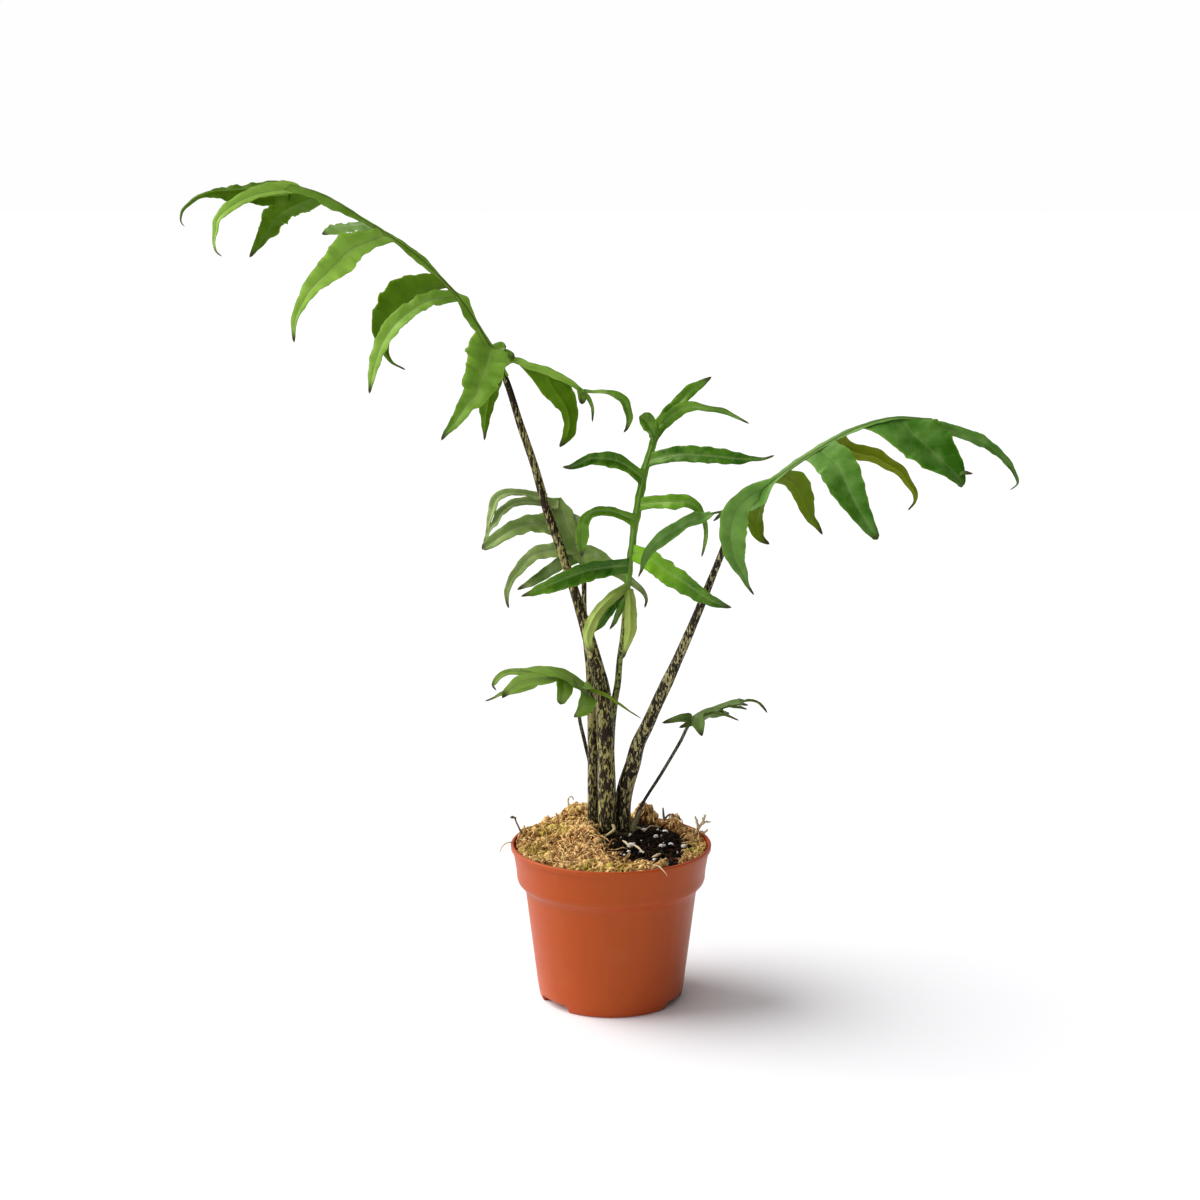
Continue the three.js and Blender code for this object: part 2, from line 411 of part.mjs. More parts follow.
// One lobe: its base row lies along the rib, and its other rows run across its
// own middle line, folded up a little on either side of it.
function lobeSheet(rib, ribStart, lobe, up) {
  const { rows, roll = [0, 0], end = false, root = rows[0][3], shows = 'upper' } = lobe;
  const [nearRoot, farRoot] = Array.isArray(root) ? root : [root, root];
  const middle = pathThrough(rows);
  const web = lobe.web ?? Math.min(middle.length * webShare, webReach);
  const steps = Math.max(3, Math.round(middle.length / lobeStep));
  const start = nearestOn(rib, middle.at(0).point, ribStart);
  let side = rib.at(start).direction.clone();
  if (end) side = new THREE.Vector3().crossVectors(middle.at(0).direction, up);
  if (lobe.side) side = vector(lobe.side);
  const stations = [];
  for (let i = 0; i <= steps; i++) {
    const station = middle.at(i / steps);
    side = side.clone().addScaledVector(station.direction, -side.dot(station.direction)).normalize();
    const flat = new THREE.Vector3().crossVectors(side, station.direction);
    stations.push({ ...station, side, flat });
  }
  const towards = stations[Math.floor(stations.length / 2)].flat.dot(front);
  const facing = Math.sign(towards) * (shows === 'upper' ? 1 : -1);
  const ups = [];
  const grid = stations.map((station, i) => {
    const t = i / steps;
    const face = station.flat.clone().multiplyScalar(facing);
    const turn = THREE.MathUtils.degToRad(roll[0] + (roll[1] - roll[0]) * t) * smooth(t / rollShare);
    const across = station.side.clone().multiplyScalar(Math.cos(turn)).addScaledVector(face, -Math.sin(turn));
    const normal = face.multiplyScalar(Math.cos(turn)).addScaledVector(station.side, Math.sin(turn));
    const share = end ? 1 : smooth(t * middle.length / web);
    ups.push([normal, normal, normal]);
    return [-1, 0, 1].map((lane) => {
      const width = lane < 0 ? station.size : station.far;
      const spread = lane * (lane < 0 ? nearRoot : farRoot) / rib.length;
      const free = station.point.clone().addScaledVector(across, lane * width)
        .addScaledVector(normal, Math.abs(lane) * width * bladeFold);
      return rib.at(Math.max(ribStart, start + spread)).point.lerp(free, share);
    });
  });
  return sheet(grid, ups, bladeThickness);
}

// The strip of blade that runs along both sides of the rib, from wing's rows.
function wingSheet(rib, from, wing, up) {
  const grid = [];
  const ups = [];
  for (const [reach, near, far] of wing) {
    const { point, direction } = rib.at(from + reach / rib.length);
    const across = new THREE.Vector3().crossVectors(direction, up).normalize();
    grid.push([-near, 0, far].map((width) => point.clone().addScaledVector(across, width)));
    ups.push([0, 1, 2].map(() => new THREE.Vector3().crossVectors(across, direction)));
  }
  return sheet(grid, ups, bladeThickness);
}

// A short bar from a row's point to the nearest point of the rib, or nothing where
// the row is on the rib already.
function link(rib, ribStart, row) {
  const point = vector(row);
  const foot = rib.at(nearestOn(rib, point, ribStart)).point;
  if (foot.distanceTo(point) < linkRadius) return [];
  const path = pathThrough([[...foot, linkRadius], [...point, linkRadius]]);
  return [solid(bar(path, 0, 1, 1, 5))];
}

function petioleAndBlade(leaf) {
  const stalk = pathThrough(leaf.stalk);
  const joint = stalk.markAt(leaf.joint);
  const seat = gap / 2 / stalk.length;
  const up = vector(leaf.up).normalize();
  const sides = leaf.stalk[0][3] > 2 ? 10 : 6;
  const petiole = solid(bar(stalk, 0, joint - seat, Math.round(leaf.joint * 1.5), sides));
  const start = joint + seat;
  let blade = solid(bar(stalk, start, 1, 2 * (leaf.stalk.length - leaf.joint), 5));
  const first = start + bladeStart / stalk.length;
  blade = blade.add(wingSheet(stalk, first, leaf.wing, up));
  const back = leaf.back && pathThrough(leaf.back);
  if (back) {
    blade = blade.add(solid(bar(back, 0, 1, 5, 5)));
    for (const bridge of link(stalk, first, leaf.back[0])) blade = blade.add(bridge);
  }
  if (leaf.backWing) blade = blade.add(wingSheet(back, 0, leaf.backWing, front));
  for (const lobe of Object.values(leaf.lobes)) {
    const [rib, ribStart] = lobe.onBack ? [back, 0] : [stalk, first];
    blade = blade.add(lobeSheet(rib, ribStart, lobe, up));
    if (lobe.end) for (const bridge of link(rib, ribStart, lobe.rows[0])) blade = blade.add(bridge);
  }
  return { petiole: geometryOf(petiole), blade: geometryOf(blade) };
}

// The pot's section, from the axis under the floor, out and up to the rim, and
// back down inside.
function potSection() {
  const { rimRadius, height, footRadius, footWidth, channelHeight, padRadius } = pot;
  const { stepRadius, stepFoot, collarRadius, collarFoot, wall, floorTop } = pot;
  const throat = rimRadius - 1.6;
  const outside = [
    [0, 0], [padRadius, 0], [padRadius + 2, channelHeight],
    [footRadius - footWidth - 2, channelHeight], [footRadius - footWidth, 0],
    [footRadius - 1.5, 0], [footRadius - 0.3, 1.2], [footRadius + 1.1, 4],
    [stepRadius, stepFoot], [stepRadius + 0.9, stepFoot + 3], [collarRadius - 0.8, collarFoot - 1.5],
    [collarRadius, collarFoot], [collarRadius + 0.3, 80], [throat, 89], [rimRadius - 1, height - 3],
  ];
  const lip = [[rimRadius, height - 1.5], [rimRadius - 0.5, height], [rimRadius - 1.5, height]];
  const inside = [
    [throat - 1, 89], [collarRadius + 0.3 - wall, 80], [collarRadius - wall, collarFoot],
    [stepRadius - wall, stepFoot], [footRadius - wall, floorTop + 2],
    [footRadius - wall - 2, floorTop], [0, floorTop],
  ];
  return [...outside, ...lip, ...inside];
}

function lathe(section, segments) {
  return new THREE.LatheGeometry(section.map(([r, z]) => new THREE.Vector2(r, z)), segments)
    .rotateX(Math.PI / 2);
}

function potSolid() {
  let body = solid(lathe(potSection(), facets.pot));
  for (let i = 0; i < pot.notches; i++) {
    const angle = pot.firstNotch - 90 + i * 360 / pot.notches;
    const shape = new THREE.Shape();
    const half = THREE.MathUtils.degToRad(pot.notchAngle / 2);
    const inner = pot.footRadius - pot.footWidth - 1;
    const outer = pot.footRadius + 6;
    shape.moveTo(inner * Math.cos(half), -inner * Math.sin(half));
    shape.lineTo(outer * Math.cos(half), -outer * Math.sin(half));
    shape.lineTo(outer * Math.cos(half), outer * Math.sin(half));
    shape.lineTo(inner * Math.cos(half), inner * Math.sin(half));
    const depth = pot.notchHeight + 1;
    const cutter = new THREE.ExtrudeGeometry(shape, { depth, bevelEnabled: false });
    cutter.translate(0, 0, -1).rotateZ(THREE.MathUtils.degToRad(angle));
    body = body.subtract(solid(cutter));
  }
  for (let i = 0; i < pot.drainHoles; i++) {
    const turn = 2 * Math.PI * (i + 0.5) / pot.drainHoles;
    const { drainRadius: radius, drainCircle: circle } = pot;
    const drill = new THREE.CylinderGeometry(radius, radius, 4 * pot.floorTop, facets.drill);
    drill.rotateX(Math.PI / 2).translate(circle * Math.cos(turn), circle * Math.sin(turn), 0);
    body = body.subtract(solid(drill));
  }
  return geometryOf(body);
}

// How high the potting mix stands at a point: a low mound around the stem, and a
// shoulder at the front right.
function soilHeight(x, y) {
  const away = Math.hypot(x - crown.x, y - crown.y);
  const mound = (soil.crownHeight - soil.edgeHeight) * smooth(1.15 - away / soil.reach);
  const fromShoulder = Math.hypot(x - shoulder.x, y - shoulder.y) / shoulder.reach;
  return soil.edgeHeight + mound + shoulder.height * Math.exp(-(fromShoulder ** 2));
}

// The moss on top of it: lumps a few millimetres across, and heaps at the back.
const heaps = [
  { x: -21, y: 46, height: 9.5, reach: 13 }, { x: 21, y: 45, height: 10, reach: 10 },
  { x: -48, y: 16, height: 3, reach: 14 }, { x: -50, y: -8, height: 2, reach: 12 },
  { x: -18, y: 4, height: 2.5, reach: 12 }, { x: 48, y: 20, height: 3, reach: 9 },
  { x: 40, y: 38, height: 6, reach: 7 },
];

function mossDepth(x, y) {
  const lumps = Math.sin(x * 0.53 + 1.3 * Math.sin(y * 0.31)) * Math.cos(y * 0.47 + x * 0.11);
  const heaped = heaps.reduce((sum, heap) => {
    const away = Math.hypot(x - heap.x, y - heap.y) / heap.reach;
    return sum + heap.height * Math.exp(-2 * away ** 3);
  }, 0);
  return moss.thickness + moss.lumps * lumps + heaped;
}

// A closed body between two heights over part of the pot's mouth. inner and outer
// give its reach at an angle, in degrees.
function patch({ from, to, inner, outer, steps, rings, low, high, ring = false }) {
  const positions = [];
  const indices = [];
  const count = ring ? steps : steps + 1;
  for (const level of [high, low]) {
    for (let i = 0; i < count; i++) {
      const degrees = from + (to - from) * i / steps;
      const turn = THREE.MathUtils.degToRad(degrees);
      for (let j = 0; j <= rings; j++) {
        const r = inner(degrees) + (outer(degrees) - inner(degrees)) * j / rings;
        const x = r * Math.cos(turn);
        const y = r * Math.sin(turn);
        positions.push(x, y, level(x, y, Math.min(j, rings - j), Math.min(i, steps - i)));
      }
    }
  }
  const width = rings + 1;
  const below = count * width;
  const quad = (a, b, c, d) => indices.push(a, b, c, a, c, d);
  for (let i = 0; i < steps; i++) {
    const here = i * width;
    const next = ((i + 1) % count) * width;
    for (let j = 0; j < rings; j++) {
      quad(here + j, here + j + 1, next + j + 1, next + j);
      quad(here + j + below, next + j + below, next + j + 1 + below, here + j + 1 + below);
    }
    quad(here, next, next + below, here + below);
    quad(here + rings, here + rings + below, next + rings + below, next + rings);
  }
  if (!ring) {
    const last = (count - 1) * width;
    for (let j = 0; j < rings; j++) {
      quad(j, j + below, j + 1 + below, j + 1);
      quad(last + j, last + j + 1, last + j + 1 + below, last + j + below);
    }
  }
  return solid(geometryFrom(positions, indices));
}

// Reads a value off a list of [angle, value] pairs, straight between them.
function chart(pairs) {
  return (degrees) => {
    const k = Math.max(1, pairs.findIndex(([angle]) => angle >= degrees));
    const [[a, low], [b, high]] = [pairs[k - 1], pairs[k]];
    return low + (high - low) * clamp01((degrees - a) / (b - a));
  };
}

// The gap is doubled here, because the two faceted domes don't share their corners.
const mossUnderside = (x, y) => soilHeight(x, y) + 2 * gap;
const mossLevel = (x, y, inwards, along) => {
  const full = smooth((Math.min(inwards, along) + 0.6) / 2);
  return mossUnderside(x, y) + moss.edge + (mossDepth(x, y) - moss.edge) * full;
};

const mossMat = {
  from: 58, to: 306, steps: facets.mat, rings: facets.matRings, low: mossUnderside, high: mossLevel,
  inner: chart([[58, 46], [80, 34], [100, 32], [130, 29], [160, 21], [180, 18], [200, 14],
    [225, 12], [250, 19], [270, 23], [285, 32], [295, 44], [306, 52]]),
  outer: () => moss.reach,
};
const mossFringe = {
  from: -44, to: 48, steps: 14, rings: 3, low: mossUnderside, high: mossLevel,
  inner: chart([[-44, 54], [-20, 50], [10, 50], [30, 50], [48, 52]]),
  outer: () => moss.reach,
};

// The mix fills the pot to a hair's breadth from its wall, and is domed on top.
function pottingMix() {
  const { floorTop, footRadius, stepRadius, stepFoot, collarRadius, collarFoot, wall } = pot;
  const shy = wall + 1.2 * gap;
  const shoulder = soil.edgeHeight - 4;
  const side = [
    [0, floorTop + gap], [footRadius - wall - 2.6, floorTop + gap],
    [footRadius - shy - 0.3, floorTop + 2.2], [stepRadius - shy, stepFoot],
    [collarRadius - shy, collarFoot], [collarRadius - shy, shoulder], [0, shoulder],
  ];
  const top = patch({
    from: 0, to: 360, ring: true, steps: facets.mix, rings: facets.mixRings,
    inner: () => 0.5, outer: () => collarRadius - shy,
    low: () => shoulder - 2, high: soilHeight,
  });
  return solid(lathe(side, facets.mix)).add(top);
}

// The short stem that the leaf stalks stand on, sunk in the mix to its top.
function stemBase(grow = 0) {
  const section = [
    [0, -crown.depth - grow], [0.45, -crown.depth + 3 - grow], [0.82, -crown.depth / 2],
    [1, -6], [0.98, 0], [0, 0],
  ];
  const shape = lathe(section, facets.stem);
  shape.scale(crown.halfWidth + grow, crown.halfDepth + grow, 1);
  return solid(shape.translate(crown.x, crown.y, crown.top));
}

// Thin things that stick out of the moss and mix: rows of x, y, z and radius.
const sprigs = {
  moss_sprig_left: [[-52, 9, 91, 0.7], [-54, 9, 98, 0.6], [-57, 9, 105, 0.5], [-60, 8, 108, 0.6]],
  moss_sprig_back: [[-25, 49, 97, 0.8], [-26, 48, 104, 0.6], [-24, 47, 110, 0.5]],
  twig: [[38, 36, 89, 0.8], [36, 37, 95, 0.7], [33, 38, 98, 0.7], [32, 39, 105, 0.6]],
  moss_sprig_right: [[49, 16, 90, 0.8], [52, 16, 97, 0.7], [55, 16, 102, 0.6], [58, 15, 107, 0.5]],
  aerial_root: [
    [0, -3.4, 107, 1.1], [-1, -4.4, 104, 1.2], [-4, -6, 101, 1], [-3, -9, 98, 0.9], [-2, -12, 93, 0.8],
  ],
};

const grains = [
  { x: 20, y: 18, long: 1.5 }, { x: 27, y: 10, long: 1 }, { x: 36, y: 3, long: 1.2 },
  { x: 44, y: 5, long: 1 }, { x: 39, y: -7, long: 1 }, { x: 26, y: -24, long: 1.3 },
  { x: 30, y: -3, long: 0.9 }, { x: 12, y: -9, long: 1.6 }, { x: 18, y: -15, long: 1.4 },
  { x: 33, y: -38, long: 1 }, { x: 42, y: -24, long: 1 }, { x: 33, y: 27, long: 1.2 },
];

function grain({ x, y, long }, index, grow = 0) {
  const shape = new THREE.IcosahedronGeometry(1, 0);
  const size = grainRadius * (0.75 + 0.12 * (index % 4));
  shape.scale(size * long + grow, size + grow, size * 0.8 + grow);
  shape.rotateZ(index * 1.9);
  return solid(shape.translate(x, y, soilHeight(x, y) + size * 0.2));
}

const potted = new THREE.Group();

function addMesh(name, geometry, colour, roughness = 0.6) {
  geometry.computeVertexNormals();
  const material = new THREE.MeshStandardMaterial({ color: colour, roughness, metalness: 0 });
  const mesh = new THREE.Mesh(geometry, material);
  mesh.name = name;
  potted.add(mesh);
}

addMesh('pot', potSolid(), colours.terracotta, 0.45);

let mix = pottingMix().subtract(stemBase(gap));
let mat = patch(mossMat);
let fringe = patch(mossFringe);
for (const [name, rows] of Object.entries(sprigs)) {
  const path = pathThrough(rows);
  const cutter = solid(bar(path, 0, 1, sprigSteps, 6, gap));
  mix = mix.subtract(cutter);
  mat = mat.subtract(cutter);
  fringe = fringe.subtract(cutter);
  const colour = name === 'aerial_root' ? colours.stem : colours.straw;
  addMesh(name, bar(path, 0, 1, sprigSteps, 6), colour, 0.8);
}
grains.forEach((spot, index) => {
  mix = mix.subtract(grain(spot, index, gap));
  addMesh(`perlite_${index + 1}`, geometryOf(grain(spot, index)), colours.perlite, 0.9);
});
addMesh('potting_mix', geometryOf(mix), colours.peat, 0.95);
addMesh('moss_mat', geometryOf(mat), colours.moss, 0.95);
addMesh('moss_fringe', geometryOf(fringe), colours.moss, 0.95);
addMesh('stem_base', geometryOf(stemBase()), colours.stem, 0.7);

// The dry end of an old leaf's sheath, in front of the right-hand stalk
const sheath = pathThrough([
  [13, 8, 99.8, 2.2], [13.5, 8, 103, 2], [16, 10, 108, 1.5], [18, 11, 112, 0.6],
]);
addMesh('leaf_sheath', bar(sheath, 0, 1, sprigSteps, 8), colours.sheath, 0.7);

for (const leaf of leaves) {
  const { petiole, blade } = petioleAndBlade(leaf);
  addMesh(`petiole_${leaf.name}`, petiole, colours.mottled, 0.5);
  const green = leaf.name === 'middle' ? colours.leaf : colours.paleLeaf;
  addMesh(`blade_${leaf.name}`, blade, green, 0.5);
}

export default potted;
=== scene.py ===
# %% [markdown]
# # A potted alocasia, grown from surfaces
#
# The plant is an alocasia with six leaves. Each leaf is a mottled stalk that ends
# in a blade cut into long pointed lobes. They rise from a short stem in peat and
# sphagnum moss, in a round nursery pot of terracotta-coloured plastic.
#
# Plants are made of two shapes, over and over: a tube along a path, and a thin
# sheet that is wider in its middle. So this lesson writes each of them once, as a
# function of two parameters on a grid, and then grows the whole plant with them.
# The solid model that is loaded first is the frame: it says where each piece is.

# %% Load the frame that everything is built around
import math

import bpy
import numpy as np
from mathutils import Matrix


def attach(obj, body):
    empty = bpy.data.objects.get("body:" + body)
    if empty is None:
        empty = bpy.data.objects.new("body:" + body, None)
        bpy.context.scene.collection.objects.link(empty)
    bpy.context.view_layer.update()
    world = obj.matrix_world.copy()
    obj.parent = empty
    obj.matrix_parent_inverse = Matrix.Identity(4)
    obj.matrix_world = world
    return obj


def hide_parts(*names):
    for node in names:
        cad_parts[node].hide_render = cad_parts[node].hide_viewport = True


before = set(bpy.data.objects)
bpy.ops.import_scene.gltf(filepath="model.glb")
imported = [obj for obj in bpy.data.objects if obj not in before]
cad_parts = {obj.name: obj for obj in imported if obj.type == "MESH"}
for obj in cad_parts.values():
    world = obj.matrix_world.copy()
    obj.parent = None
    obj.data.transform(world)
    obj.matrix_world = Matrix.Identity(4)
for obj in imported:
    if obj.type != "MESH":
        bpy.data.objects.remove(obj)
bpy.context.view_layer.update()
MM = 0.001

# %% [markdown]
# ## Camera, light and floor
#
# The photograph was taken from a little above the leaves, looking 11 degrees down,
# with a lens long enough that the round pot shows little perspective. Working the
# view back from the pot's two ellipses gives a camera 1.4 m away and a 73 mm lens.
#
# The light is a studio's: one broad lamp at the left and a little behind throws a
# soft shadow to the right, and a pale room fills the rest. A sun lamp with a wide
# angle is such a lamp, and it lights the floor evenly however far it runs. The
# room's fill is the world's colour, which fades towards the right, where the room
# is dark. Camera rays see full white instead, as on a lit backdrop.

# %% Camera
CAMERA_PLACE = (-6.6 * MM, -1400 * MM, 522.5 * MM)
CAMERA_DOWN = math.radians(11.3)
LENS, SENSOR = 73.03, 36.0  # millimetres, as Blender's cameras want them

scene = bpy.context.scene
camera = bpy.data.objects.new("studio_camera", bpy.data.cameras.new("studio_camera"))
camera.data.sensor_width = SENSOR
camera.data.lens = LENS
camera.location = CAMERA_PLACE
camera.rotation_euler = (math.pi / 2 - CAMERA_DOWN, 0, 0)
scene.collection.objects.link(camera)
scene.camera = camera
print("camera at", [round(c, 3) for c in CAMERA_PLACE], "lens", LENS, "mm")

# %% [markdown]
# A material or a world is a tree of nodes. A tree is easier to read as a list of
# steps, each one naming what it takes in. So one function adds any node: an input
# can be a number, a colour, or an earlier node, whose first live output is linked.
# A node such as Mix has sockets for several kinds of data under the same name, and
# only those of the kind that is in use are enabled.

# %% Helpers for everything that has a colour
def linear(colour):
    """'#rrggbb' in sRGB as linear RGBA: each channel c is c / 12.92 up to 0.04045,
    and ((c + 0.055) / 1.055) to the power 2.4 above it."""
    channels = np.array([int(colour[i:i + 2], 16) for i in (1, 3, 5)]) / 255
    curved = ((channels + 0.055) / 1.055) ** 2.4
    return (*np.where(channels <= 0.04045, channels / 12.92, curved).tolist(), 1.0)


def live(sockets, name=None):
    """The first enabled socket, or the first enabled one of that name."""
    return next(s for s in sockets if s.enabled and name in (None, s.name))


def feed(tree, node, inputs):
    """Sets a node's inputs by name or number. Each is a value, or another node or one
    of its outputs, which is then linked."""
    for name, value in inputs.items():
        socket = node.inputs[name] if isinstance(name, int) else live(node.inputs, name)
        if isinstance(value, bpy.types.Node):
            value = live(value.outputs)
        if isinstance(value, bpy.types.NodeSocket):
            tree.links.new(value, socket)
        else:
            socket.default_value = value


def add(tree, kind, inputs=None, **settings):
    """Adds a node with its settings and feeds its inputs."""
    node = tree.nodes.new("ShaderNode" + kind)
    for name, value in settings.items():
        setattr(node, name, value)
    feed(tree, node, inputs or {})
    return node


def new_material(name):
    """An empty material with one Principled shader on its output."""
    material = bpy.data.materials.new(name)
    material.use_nodes = True
    tree = material.node_tree
    tree.nodes.clear()
    shader = add(tree, "BsdfPrincipled")
    add(tree, "OutputMaterial", {"Surface": shader})
    return material, tree, shader


# %% Light: one broad lamp at the left, and a pale room
LAMP_STRENGTH = 3.0
LAMP_HEIGHT = math.radians(42)
LAMP_ROUND_TO = math.radians(-100)
LAMP_WIDTH = math.radians(55)
ROOM_LEFT, ROOM_RIGHT = 1.05, 0.05
FADE_REACH = 0.8

lamp = bpy.data.objects.new("broad_lamp", bpy.data.lights.new("broad_lamp", "SUN"))
lamp.data.energy = LAMP_STRENGTH
lamp.data.angle = LAMP_WIDTH
lamp.rotation_euler = (math.pi / 2 - LAMP_HEIGHT, 0, LAMP_ROUND_TO)
scene.collection.objects.link(lamp)

room = bpy.data.worlds.new("pale_room")
room.use_nodes = True
tree = room.node_tree
tree.nodes.clear()
way = add(tree, "SeparateXYZ", {"Vector": add(tree, "TexCoord").outputs["Generated"]})
strength = add(tree, "MapRange", {"Value": way, "From Min": -FADE_REACH, "From Max": FADE_REACH,
                                  "To Min": ROOM_LEFT, "To Max": ROOM_RIGHT})
fill = add(tree, "Background", {"Color": linear("#fdfdff"), "Strength": strength})
backdrop = add(tree, "Background", {"Color": linear("#fefefe"), "Strength": 1.0})
rays = add(tree, "LightPath").outputs["Is Camera Ray"]
seen = add(tree, "MixShader", {0: rays, 1: fill, 2: backdrop})
add(tree, "OutputWorld", {"Surface": seen})
scene.world = room
scene.view_settings.view_transform = "Standard"
print("lamp", LAMP_STRENGTH, "room", ROOM_LEFT, "to", ROOM_RIGHT)

# %% [markdown]
# The floor is a plain pale sheet, far larger than the view. It isn't part of the
# object, so it is only stage. Matt white paint sends back about nine tenths of the
# light.

# %% Floor
FLOOR_REACH = 12.0  # metres each way

paint, tree, shader = new_material("matt_white_studio_paint")
feed(tree, shader, {"Base Color": linear("#f7f7f8"), "Roughness": 0.9, "Specular IOR Level": 0.15})
floor_mesh = bpy.data.meshes.new("studio_floor")
floor_mesh.from_pydata([(x * FLOOR_REACH, y * FLOOR_REACH, 0) for x, y in
                        ((-1, -1), (1, -1), (1, 1), (-1, 1))], [], [(0, 1, 2, 3)])
floor_mesh.materials.append(paint)
floor = bpy.data.objects.new("studio_floor", floor_mesh)
scene.collection.objects.link(floor)
print("floor is", 2 * FLOOR_REACH, "m wide")

# %% [markdown]
# ## Pieces as arrays
#
# Blender stores a mesh as long lists: every vertex, then every face as a row of
# vertex numbers. numpy makes those lists without a loop. Shapes are worked out in
# millimetres and become metres as they are built. They come from one idea: rings.
# A ring is a closed row of points, a tube is a stack of rings, and a leaf is a tube
# that has been pressed flat. Each ring is joined to the next by four-sided faces,
# and a fan of triangles closes each end.
#
# A piece also carries marks, numbers kept at its vertices, such as how far a
# point is from the leaf's edge in millimetres. The materials read them, so that a
# dark margin or a vein follows the leaf wherever it bends.

# %% Smooth steps, and lengths along a path
def smooth(t):
    """0 below 0, 1 above 1, and 3 t^2 - 2 t^3 between them."""
    t = np.clip(t, 0, 1)
    return t * t * (3 - 2 * t)


def reaches(path):
    """How far along a path each of its points is: the sum of the steps before it."""
    return np.r_[0, np.cumsum(np.linalg.norm(np.diff(path[:, :3], axis=0), axis=1))]


def directions(points):
    """The unit vector from each point's neighbour before it to the one after it.
    The points may have axes in front, one path for each."""
    along = np.gradient(points, axis=-2)
    return along / np.linalg.norm(along, axis=-1, keepdims=True)


def carried_sides(along, side):
    """A side vector taken down each path without twisting: at every station the part
    that points along the path is taken off, and the rest is made one long again."""
    sides = np.empty_like(along)
    for i in range(along.shape[-2]):
        forward = along[..., i, :]
        side = side - forward * (side * forward).sum(-1, keepdims=True)
        side = side / np.linalg.norm(side, axis=-1, keepdims=True)
        sides[..., i, :] = side
    return sides


# %% A smooth path through rows of numbers
FINE_STEPS = 40  # between two rows, before the path is divided evenly


def smooth_path(rows, count, start=0, stop=None):
    """A curve through rows of x, y, z and any more columns, at count places evenly
    spaced by length from row start to row stop. Between two rows it is a cubic whose
    slopes come from the neighbouring rows, each step weighed by its root length."""
    rows = np.asarray(rows, float)
    ends = 2 * rows[[0, -1]] - rows[[1, -2]]
    p = np.vstack([ends[:1], rows, ends[1:]])
    step = np.sqrt(np.linalg.norm(np.diff(p[:, :3], axis=0), axis=1))[:, None]
    before, here, after = step[:-2], step[1:-1], step[2:]
    a, b, c, d = p[:-3], p[1:-2], p[2:-1], p[3:]
    slope_b = here * ((b - a) / before - (c - a) / (before + here)) + (c - b)
    slope_c = here * ((d - c) / after - (d - b) / (here + after)) + (c - b)
    t = np.linspace(0, 1, FINE_STEPS + 1)[:, None, None]
    cubic = ((2 * t**3 - 3 * t**2 + 1) * b + (t**3 - 2 * t**2 + t) * slope_b
             + (3 * t**2 - 2 * t**3) * c + (t**3 - t**2) * slope_c)
    fine = np.concatenate([cubic[:-1].transpose(1, 0, 2).reshape(-1, p.shape[1]), rows[-1:]])
    reach = reaches(fine)
    last = len(rows) - 1 if stop is None else stop
    places = np.linspace(reach[FINE_STEPS * start], reach[FINE_STEPS * last], count)
    return np.stack([np.interp(places, reach, column) for column in fine.T], axis=1)


# %% Lumps without a grid
WAVE_COUNT, WAVE_LENGTHS, WAVE_GAIN = 7, (1.4, 3.2), 1.6
ANY_TURN = (0, 6.3)  # radians, once round


def waves(points, size, seed):
    """Smooth lumps about size across, mostly from -1 to 1: the mean of seven sine waves
    in seeded directions, times a gain. points is an array of x, y, z."""
    dice = np.random.default_rng(seed)
    ways = dice.normal(size=(WAVE_COUNT, 3))
    ways /= np.linalg.norm(ways, axis=1, keepdims=True)
    lengths = size * dice.uniform(*WAVE_LENGTHS, WAVE_COUNT)
    turns = 2 * np.pi * (points @ ways.T) / lengths + dice.uniform(*ANY_TURN, WAVE_COUNT)
    return np.sin(turns).mean(-1) * WAVE_GAIN


# %% Rings into shells
def shells(rings, marks=None):
    """Closed shells from an array of shell, ring, point, xyz. Face (i, j) joins
    points j and j + 1 of rings i and i + 1, and two fans close each shell. A mark
    has a number for every shell, ring and point, or fewer that spread over them."""
    count, n, k = rings.shape[:3]
    near = np.arange(n * k).reshape(n, k)
    next_ = np.roll(near, -1, axis=1)
    quads = np.stack([near[:-1], next_[:-1], next_[1:], near[1:]], -1).reshape(-1, 4)
    first = np.stack([np.full(k, n * k), next_[0], near[0]], -1)
    last = np.stack([np.full(k, n * k + 1), near[-1], next_[-1]], -1)
    shift = (np.arange(count) * (n * k + 2))[:, None, None]
    middles = rings[:, [0, -1]].mean(2)
    verts = np.concatenate([rings.reshape(count, -1, 3), middles], 1).reshape(-1, 3)
    kept = {}
    for name, value in (marks or {}).items():
        value = np.broadcast_to(value, rings.shape[:3])
        closing = value[:, [0, -1]].mean(2)
        kept[name] = np.concatenate([value.reshape(count, -1), closing], 1).ravel()
    return {"verts": verts, "quads": (quads + shift).reshape(-1, 4),
            "tris": (np.concatenate([first, last]) + shift).reshape(-1, 3), "marks": kept}


def tubes(paths, radii, sides, marks=None):
    """Round tubes: the point at turn a of a ring is its centre plus radius times
    (cos(a) side + sin(a) across). paths is an array of tube, station, xyz, and radii
    and marks are arrays of tube, station."""
    along = directions(paths)
    side = carried_sides(along, np.broadcast_to(np.array([1.0, 0.0, 0.0]), paths[:, 0].shape))
    across = np.cross(along, side)
    turn = np.linspace(0, 2 * np.pi, sides, endpoint=False)[:, None]
    ring = np.cos(turn) * side[:, :, None] + np.sin(turn) * across[:, :, None]
    rings = paths[:, :, None] + ring * radii[:, :, None, None]
    return shells(rings, {k: np.asarray(v, float)[..., None] for k, v in (marks or {}).items()})


